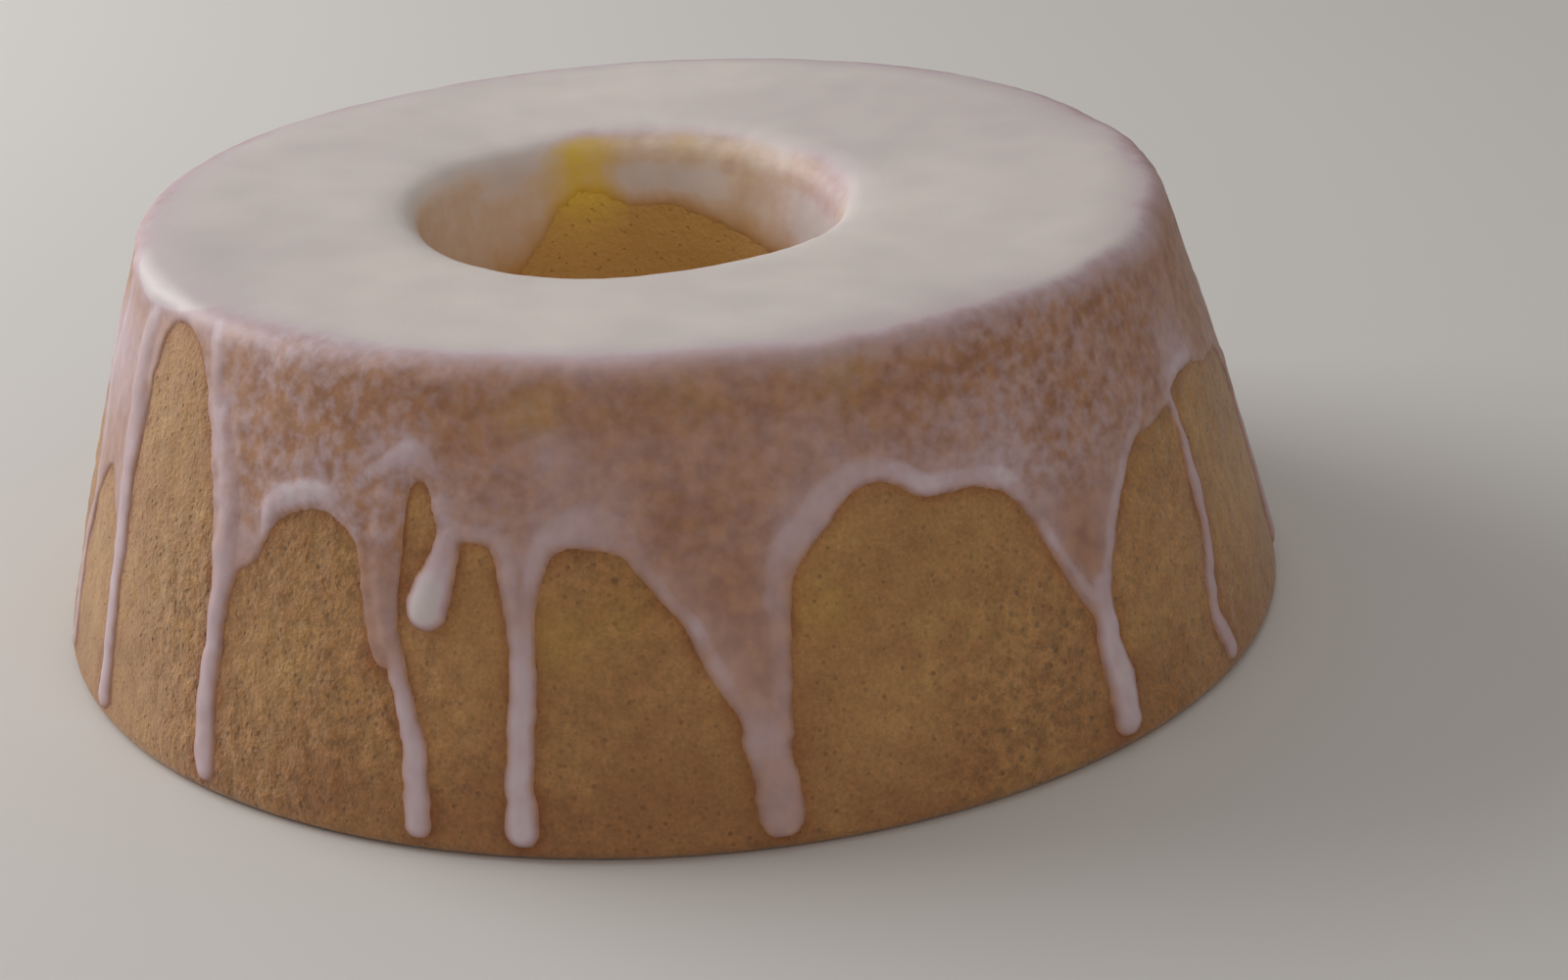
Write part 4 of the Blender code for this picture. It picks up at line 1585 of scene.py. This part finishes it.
@dataclass(frozen=True)
class Skin:
    """The crust's unevenness and its tones. The icing on it follows them where it is thin.

    Where a field is two numbers, they are a hump's centre and its width. Those of
    `torn` are a strength, and the centre and width of a hump along x.
    """

    form: RingForm
    swells: tuple[Noise, ...] = (Noise(0.55, 26.0, 0.4), Noise(0.26, 9.0, 6.6))
    crumbs: Noise = Noise(1.0, 3.2, 12.5)
    smooth_relief: float = 0.10
    crumb_relief: float = 0.42
    crumb_share: float = 0.25
    crumb_places: Noise = Noise(0.55, 30.0, 21.0)
    torn_height: tuple[float, float] = (20.0, 22.0)
    torn: tuple[tuple[float, float, float], ...] = ((0.62, -62.0, 40.0), (0.46, 62.0, 26.0))
    toast_share: float = 0.10
    toast_at_base: float = 0.34
    toast_base_height: float = 24.0
    most_toasted: float = 0.8
    toast_places: Noise = Noise(0.45, 17.0, 44.0)
    # Browner low on the front: browner baking, and painted shade.
    darkening: tuple[BrownedAndShaded, ...] = (
        BrownedAndShaded((-4.0, 16.0), (24.0, 30.0), 0.42), BrownedAndShaded((-38.0, 11.0), (26.0, 26.0), 0.24),
    )
    # Painted light in the hole: crust and icing paler against the hole's shade, less on the wall that
    # the window lights.
    hole_painted_light: float = 0.78
    less_light_on_lit_wall: float = 0.60
    lit_wall_at: tuple[float, float] = (105.0, 26.0)
    # Darker beside the icing's edge: icing that seeped in, and painted shadow under the edge.
    soak_and_shade_reach: float = 1.6
    soak_and_shade_at_foot: float = 0.15
    soak_and_shade_share: float = 0.70
    soak_and_shade_places: Noise = Noise(0.80, 8.0, 71.0)

    def relief(self, at: Spots) -> np.ndarray:
        """How far the uneven crust stands out from its smooth form.

        Args:
            at: The places.

        Returns:
            Distances in millimetres.
        """
        relief = uneven(at.points, *self.swells)
        rough = self.smooth_relief + self.crumb_relief * self.crumb(at)
        relief += rough * uneven(at.points, self.crumbs)
        return relief * smooth_step((at.height - 1.0) / 4.0)

    def crumb(self, at: Spots) -> np.ndarray:
        """Where the skin is broken and the open crumb shows.

        Args:
            at: The places.

        Returns:
            A share for each.
        """
        x, y, z = at.points.T
        torn = sum(most * hump(x, *where) for most, *where in self.torn)
        torn *= hump(z, *self.torn_height) * (y < 0.0)
        return np.clip(self.crumb_share + uneven(at.points, self.crumb_places) + torn, 0.0, 1.0)

    def gold(self, at: Spots) -> np.ndarray:
        """Where the skin is paler and more yellow.

        Args:
            at: The places.

        Returns:
            A share for each.
        """
        gold = np.zeros_like(at.path)
        for patch in GOLDEN_PATCHES:
            across = np.radians(at.azimuth - patch.azimuth) * at.radius
            middle = patch.path(self.form)
            gold += patch.change * hump(across, 0.0, patch.radius) * hump(at.path, middle, patch.radius)
        return np.clip(gold, 0.0, 1.0)

    def in_hole(self, at: Spots) -> np.ndarray:
        """The share to which the skin is painted paler in the hole, as painted light against its shade,
        from 0 to 1. It is palest at the back, and least on the right wall, which the window lights.
        """
        pale = self.hole_painted_light - self.less_light_on_lit_wall * hump(at.azimuth, *self.lit_wall_at)
        return pale * smooth_step((self.form.hole_arc[1] + 2.0 - at.path) / 6.0)

    def toast_and_shade(self, at: Spots) -> np.ndarray:
        """How brown the skin is drawn: baked browning, and painted shade low on the front.

        Args:
            at: The places.

        Returns:
            A share for each, up to the most that it browned.
        """
        near_base = 1.0 - smooth_step(at.height / self.toast_base_height)
        toast_and_shade = self.toast_share + self.toast_at_base * near_base
        for place in self.darkening:
            toast_and_shade += place.change * hump(at.azimuth, *place.azimuth) * hump(at.height, *place.height)
        return np.clip(toast_and_shade + uneven(at.points, self.toast_places), 0.0, self.most_toasted)

    def soak_and_shade(self, at: Spots, inside: np.ndarray) -> np.ndarray:
        """Where the crust beside the icing's edge is darker: icing that seeped in, and painted shadow
        under the edge.

        Args:
            at: The places.
            inside: How far inside the icing's edge each one is.

        Returns:
            A share for each place.
        """
        beside = np.exp(np.minimum(inside, 0.0) / self.soak_and_shade_reach)
        beside *= np.where(at.path < self.form.hole_arc[0], self.soak_and_shade_at_foot, 1.0)
        beside *= np.clip(self.soak_and_shade_share + uneven(at.points, self.soak_and_shade_places), 0.0, 1.0)
        return np.clip(beside, 0.0, 1.0)


def write_layer(shape: bmesh.types.BMesh, layer: Layer, values: np.ndarray) -> None:
    """Keeps one value on each vertex.

    Args:
        shape: The mesh.
        layer: The layer's name.
        values: One number for each vertex.
    """
    made = shape.verts.layers.float.new(layer.value)
    for vertex, value in zip(shape.verts, values.tolist(), strict=True):
        vertex[made] = value


def move_to(shape: bmesh.types.BMesh, points: np.ndarray) -> None:
    """Moves each of a mesh's vertices to its place, which is in millimetres."""
    for vertex, place in zip(shape.verts, (points * MM).tolist(), strict=True):
        vertex.co = place


def dressed(
    name: str, shape: bmesh.types.BMesh, finish: BakedCrust | SugarIcing, node: str
) -> bpy.types.Object:
    """Makes a finished piece of a mesh, on the cake's one body.

    Args:
        name: The piece's name.
        shape: Its mesh, which is used up.
        finish: What it is made of.
        node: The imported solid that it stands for.

    Returns:
        The piece.
    """
    bmesh.ops.recalc_face_normals(shape, faces=shape.faces)
    if shape.calc_volume(signed=True) < 0.0:
        bmesh.ops.reverse_faces(shape, faces=shape.faces)
    mesh = mesh_of(name, shape)
    mesh.shade_smooth()
    mesh.materials.append(finish.build())
    piece = add_object(name, mesh)
    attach(piece, "root")
    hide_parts(node)
    return piece


def rows_between(start: float, end: float, spacing: float) -> list[float]:
    """Even steps from start up to, but without, the end, about a spacing apart."""
    pieces = max(1, round((end - start) / spacing))
    return [start + (end - start) * i / pieces for i in range(pieces)]


@dataclass(frozen=True)
class BakedRing:
    """The cake itself: one turned solid with an uneven, porous skin."""

    form: RingForm
    skin: Skin
    flow: IcingFlow
    finish: BakedCrust = BakedCrust()
    columns: int = 340
    side_row: float = 1.2
    hole_row: float = 2.4
    top_row: float = 5.0
    under_row: float = 9.0
    arc_row: float = 1.0

    def rows(self) -> list[float]:
        """The rows of the whole section.

        Returns:
            The rows' paths. They are closed: the last is the first again.
        """
        form = self.form
        hole, rim, base, foot = form.hole_arc, form.rim_arc, form.base_arc, form.foot_arc
        return [
            *rows_between(0.0, hole[0], self.hole_row), *rows_between(*hole, self.arc_row * 1.6),
            *rows_between(hole[1], rim[0], self.top_row), *rows_between(*rim, self.arc_row),
            *rows_between(rim[1], base[0], self.side_row), *rows_between(*base, self.arc_row),
            *rows_between(base[1], foot[0], self.under_row), *rows_between(*foot, self.arc_row),
            form.lengths[-1],
        ]

    def build(self) -> bpy.types.Object:
        """Makes the piece.

        Returns:
            The finished object.
        """
        form = self.form
        shape = form.turned(self.rows(), self.columns, form.rim_arc[0])
        at = form.spots(shape)
        skin = self.skin
        move_to(shape, form.place(at.azimuth, at.path, skin.relief(at)))
        for layer, values in (
            (Layer.SOAK_AND_SHADE, skin.soak_and_shade(at, self.flow.fields(at).inside)), (Layer.TOAST_AND_SHADE, skin.toast_and_shade(at)),
            (Layer.CRUMB, skin.crumb(at)), (Layer.GOLD, skin.gold(at)),
            (Layer.HOLE_LIGHT, skin.in_hole(at)),
        ):
            write_layer(shape, layer, values)
        return dressed("baked_ring", shape, self.finish, "cake")


@dataclass(frozen=True)
class PouredIcing:
    """The icing: coat, film and drips as one closed skin that is keyed into the crust."""

    form: RingForm
    skin: Skin
    flow: IcingFlow
    finish: SugarIcing = SugarIcing()
    columns: int = 280
    side_row: float = 1.3
    hole_row: float = 1.5
    top_row: float = 3.6
    arc_row: float = 1.0
    hole_reach: float = 26.0
    inner_depth: float = 1.5
    wet_above: float = -0.05
    fine_reach: float = 1.0
    hides_relief: float = 1.4
    tone: float = 0.55
    tones: tuple[Noise, ...] = (
        Noise(0.35, 32.0, 61.0), Noise(0.26, 11.0, 62.0), Noise(0.14, 5.5, 63.0)
    )
    greyer_at_rim: float = 0.40

    def rows(self) -> list[float]:
        """The rows of the open section, from inside the hole to the foot of the side.

        Returns:
            The rows' paths.
        """
        form = self.form
        hole, rim, base = form.hole_arc, form.rim_arc, form.base_arc
        return [
            *rows_between(hole[0] - self.hole_reach, hole[0], self.hole_row),
            *rows_between(*hole, self.arc_row * 1.6), *rows_between(hole[1], rim[0], self.top_row),
            *rows_between(*rim, self.arc_row), *rows_between(rim[1], base[0], self.side_row), base[0],
        ]

    def refine(self, shape: bmesh.types.BMesh) -> None:
        """Gives the streams and the film's edge a mesh of twice the fineness.

        Args:
            shape: The turned surface.
        """
        at = self.form.spots(shape)
        still = np.zeros_like(at.path)
        inside = self.flow.streams_at(at, still, still).inside
        film = self.flow.film_inside(at, 0.0)
        near = (inside > -self.fine_reach) | (np.abs(film) < self.fine_reach * 1.5)
        shape.verts.index_update()
        edges = [
            edge
            for edge in shape.edges
            if near[edge.verts[0].index] and near[edge.verts[1].index]
        ]
        bmesh.ops.subdivide_edges(shape, edges=edges, cuts=1, use_grid_fill=True)

    def trim(self, shape: bmesh.types.BMesh) -> None:
        """Takes away the faces that lie in bare crust, and leaves no pinched corners.

        Args:
            shape: The whole turned surface, with each vertex's lift.
        """
        lift = shape.verts.layers.float[Layer.LIFT.value]
        kept = {
            face
            for face in shape.faces
            if any(vertex[lift] > self.wet_above for vertex in face.verts)
        }
        pinched = True
        while pinched:
            pinched = False
            for vertex in shape.verts:
                here = [face for face in vertex.link_faces if face in kept]
                if not here or len(here) == len(vertex.link_faces):
                    continue
                rims = sum(
                    sum(face in kept for face in edge.link_faces) == 1
                    for edge in vertex.link_edges
                )
                if rims > 2:
                    kept.update(vertex.link_faces)
                    pinched = True
        bare = [face for face in shape.faces if face not in kept]
        bmesh.ops.delete(shape, geom=bare, context="FACES")

    def close(self, shape: bmesh.types.BMesh) -> None:
        """Gives the open surface its back, inside the crust.

        Args:
            shape: The trimmed surface.
        """
        inner = shape.verts.layers.float.new(Layer.INNER.value)
        made = bmesh.ops.extrude_face_region(shape, geom=shape.faces[:], use_keep_orig=True)
        for item in made["geom"]:
            if isinstance(item, bmesh.types.BMVert):
                item[inner] = 1.0

    def whiteness(self, at: Spots) -> np.ndarray:
        """How white the thick coat is.

        Args:
            at: The places.

        Returns:
            A share for each, from greyish at 0 to the icing's own white at 1.
        """
        x, y, _ = at.points.T
        tone = self.tone + uneven(at.points, *self.tones)
        # Some of these spots are painted light: a painted highlight and painted shade.
        for spot in TOP_TONES:
            tone += spot.change * hump(x, spot.x, spot.radius) * hump(y, spot.y, spot.radius)
        # Greyer near the rim: thinner coat, and painted rim shade.
        tone -= self.greyer_at_rim * self.flow.rim_thinning_and_shade(at)
        return np.clip(tone, 0.0, 1.0)

    def build(self) -> bpy.types.Object:
        """Makes the piece.

        Returns:
            The finished object.
        """
        form = self.form
        shape = form.turned(self.rows(), self.columns, form.rim_arc[0])
        self.refine(shape)
        at = form.spots(shape)
        icing = self.flow.fields(at)
        for layer, values in (
            (Layer.LIFT, icing.lift), (Layer.OPACITY, icing.opacity), (Layer.LACE, icing.lace),
            (Layer.GOLD, self.skin.gold(at)), (Layer.HOLE_LIGHT, self.skin.in_hole(at)),
            (Layer.TONE, self.whiteness(at)),
        ):
            write_layer(shape, layer, values)
        self.trim(shape)
        self.close(shape)
        at = form.spots(shape)
        lift, inner = (
            np.array([vertex[shape.verts.layers.float[layer.value]] for vertex in shape.verts])
            for layer in (Layer.LIFT, Layer.INNER)
        )
        relief = self.skin.relief(at)
        cover = 1.0 - np.exp(-np.maximum(lift, 0.0) / self.hides_relief)
        off = relief * (1.0 - cover) + lift
        off = np.where(inner > 0.5, -self.inner_depth, off)
        move_to(shape, form.place(at.azimuth, at.path, off))
        return dressed("poured_icing", shape, self.finish, "icing")


# ------------------------------------------------------------------- the studio


@dataclass(frozen=True)
class SoftLight:
    """A square area light that faces the cake."""

    name: str
    azimuth: float
    elevation: float
    distance: float
    size: float
    power: float
    colour: str = "#ffffff"

    def build(self) -> None:
        """Adds the light to the scene."""
        data = bpy.data.lights.new(self.name, "AREA")
        data.energy = self.power
        data.size = self.size
        data.color = srgb(self.colour)[:3]
        towards = direction(self.azimuth, self.elevation)
        made = add_object(self.name, data)
        made.location = towards * self.distance
        made.rotation_euler = towards.to_track_quat("Z", "Y").to_euler()


@dataclass(frozen=True)
class Studio:
    """A pale floor, soft light from the left and behind, and the photograph's camera."""

    floor_size: float = 8.0
    floor_gap: float = 0.05
    floor_colour: str = "#dddad6"
    floor_roughness: float = 0.85
    world_colour: str = "#e9e8e6"
    world_strength: float = 0.26
    camera_distance: float = 0.5789
    camera_height: float = 0.2555
    pitch: float = 22.494
    yaw: float = 2.244
    roll: float = 3.005
    focal_pixels: float = 3187.0
    image_width: float = 1600.0
    sensor_width: float = 36.0
    lights: tuple[SoftLight, ...] = (
        SoftLight("window", -118.0, 28.0, 1.4, 1.0, 14.2),
        SoftLight("ceiling", 170.0, 74.0, 1.2, 1.0, 1.4),
        SoftLight("bounce", 12.0, 36.0, 1.5, 1.2, 3.3, "#fff4ec"),
    )

    def build_floor(self) -> None:
        """A plain matt floor."""
        shape = bmesh.new()
        bmesh.ops.create_grid(shape, x_segments=1, y_segments=1, size=self.floor_size / 2.0)
        mesh = mesh_of("floor", shape)
        # Plain and matt, so that only the cake catches the eye.
        material = bpy.data.materials.new("pale_floor")
        material.use_nodes = True
        shader = material.node_tree.nodes["Principled BSDF"]
        shader.inputs["Base Color"].default_value = srgb(self.floor_colour)
        shader.inputs["Roughness"].default_value = self.floor_roughness
        mesh.materials.append(material)
        floor = add_object("floor", mesh)
        floor.location.z = -self.floor_gap * MM

    def build_world(self) -> None:
        """Even light from all round."""
        world = bpy.data.worlds.new("soft_room")
        world.use_nodes = True
        background = world.node_tree.nodes["Background"]
        background.inputs["Color"].default_value = srgb(self.world_colour)
        background.inputs["Strength"].default_value = self.world_strength
        bpy.context.scene.world = world

    def build_camera(self) -> None:
        """The camera at the photograph's angle."""
        yaw, roll = math.radians(self.yaw), math.radians(self.roll)
        back = direction(-self.yaw, self.pitch)
        level = Vector((math.cos(yaw), -math.sin(yaw), 0.0))
        upright = back.cross(level)
        right = level * math.cos(roll) - upright * math.sin(roll)
        up = level * math.sin(roll) + upright * math.cos(roll)
        data = bpy.data.cameras.new("camera")
        data.sensor_width = self.sensor_width
        data.lens = self.focal_pixels / self.image_width * self.sensor_width
        data.clip_start = 0.01
        made = add_object("camera", data)
        made.matrix_world = Matrix.Translation(
            (0.0, -self.camera_distance, self.camera_height)
        ) @ Matrix((right, up, back)).transposed().to_4x4()
        bpy.context.scene.camera = made

    def build(self) -> None:
        """The whole studio."""
        self.build_floor()
        self.build_world()
        for light in self.lights:
            light.build()
        self.build_camera()
        bpy.context.scene.view_settings.view_transform = "Standard"


def main() -> None:
    """Builds the cake, its icing and the studio."""
    form = RingForm()
    parts = (form, Skin(form), IcingFlow(form))
    for maker in (BakedRing(*parts), PouredIcing(*parts)):
        piece = maker.build()
        piece.data.calc_loop_triangles()
        LOG.info("%s: %d triangles", piece.name, len(piece.data.loop_triangles))
    Studio().build()


if __name__ == "__main__":
    logging.basicConfig(level=logging.INFO)
    main()
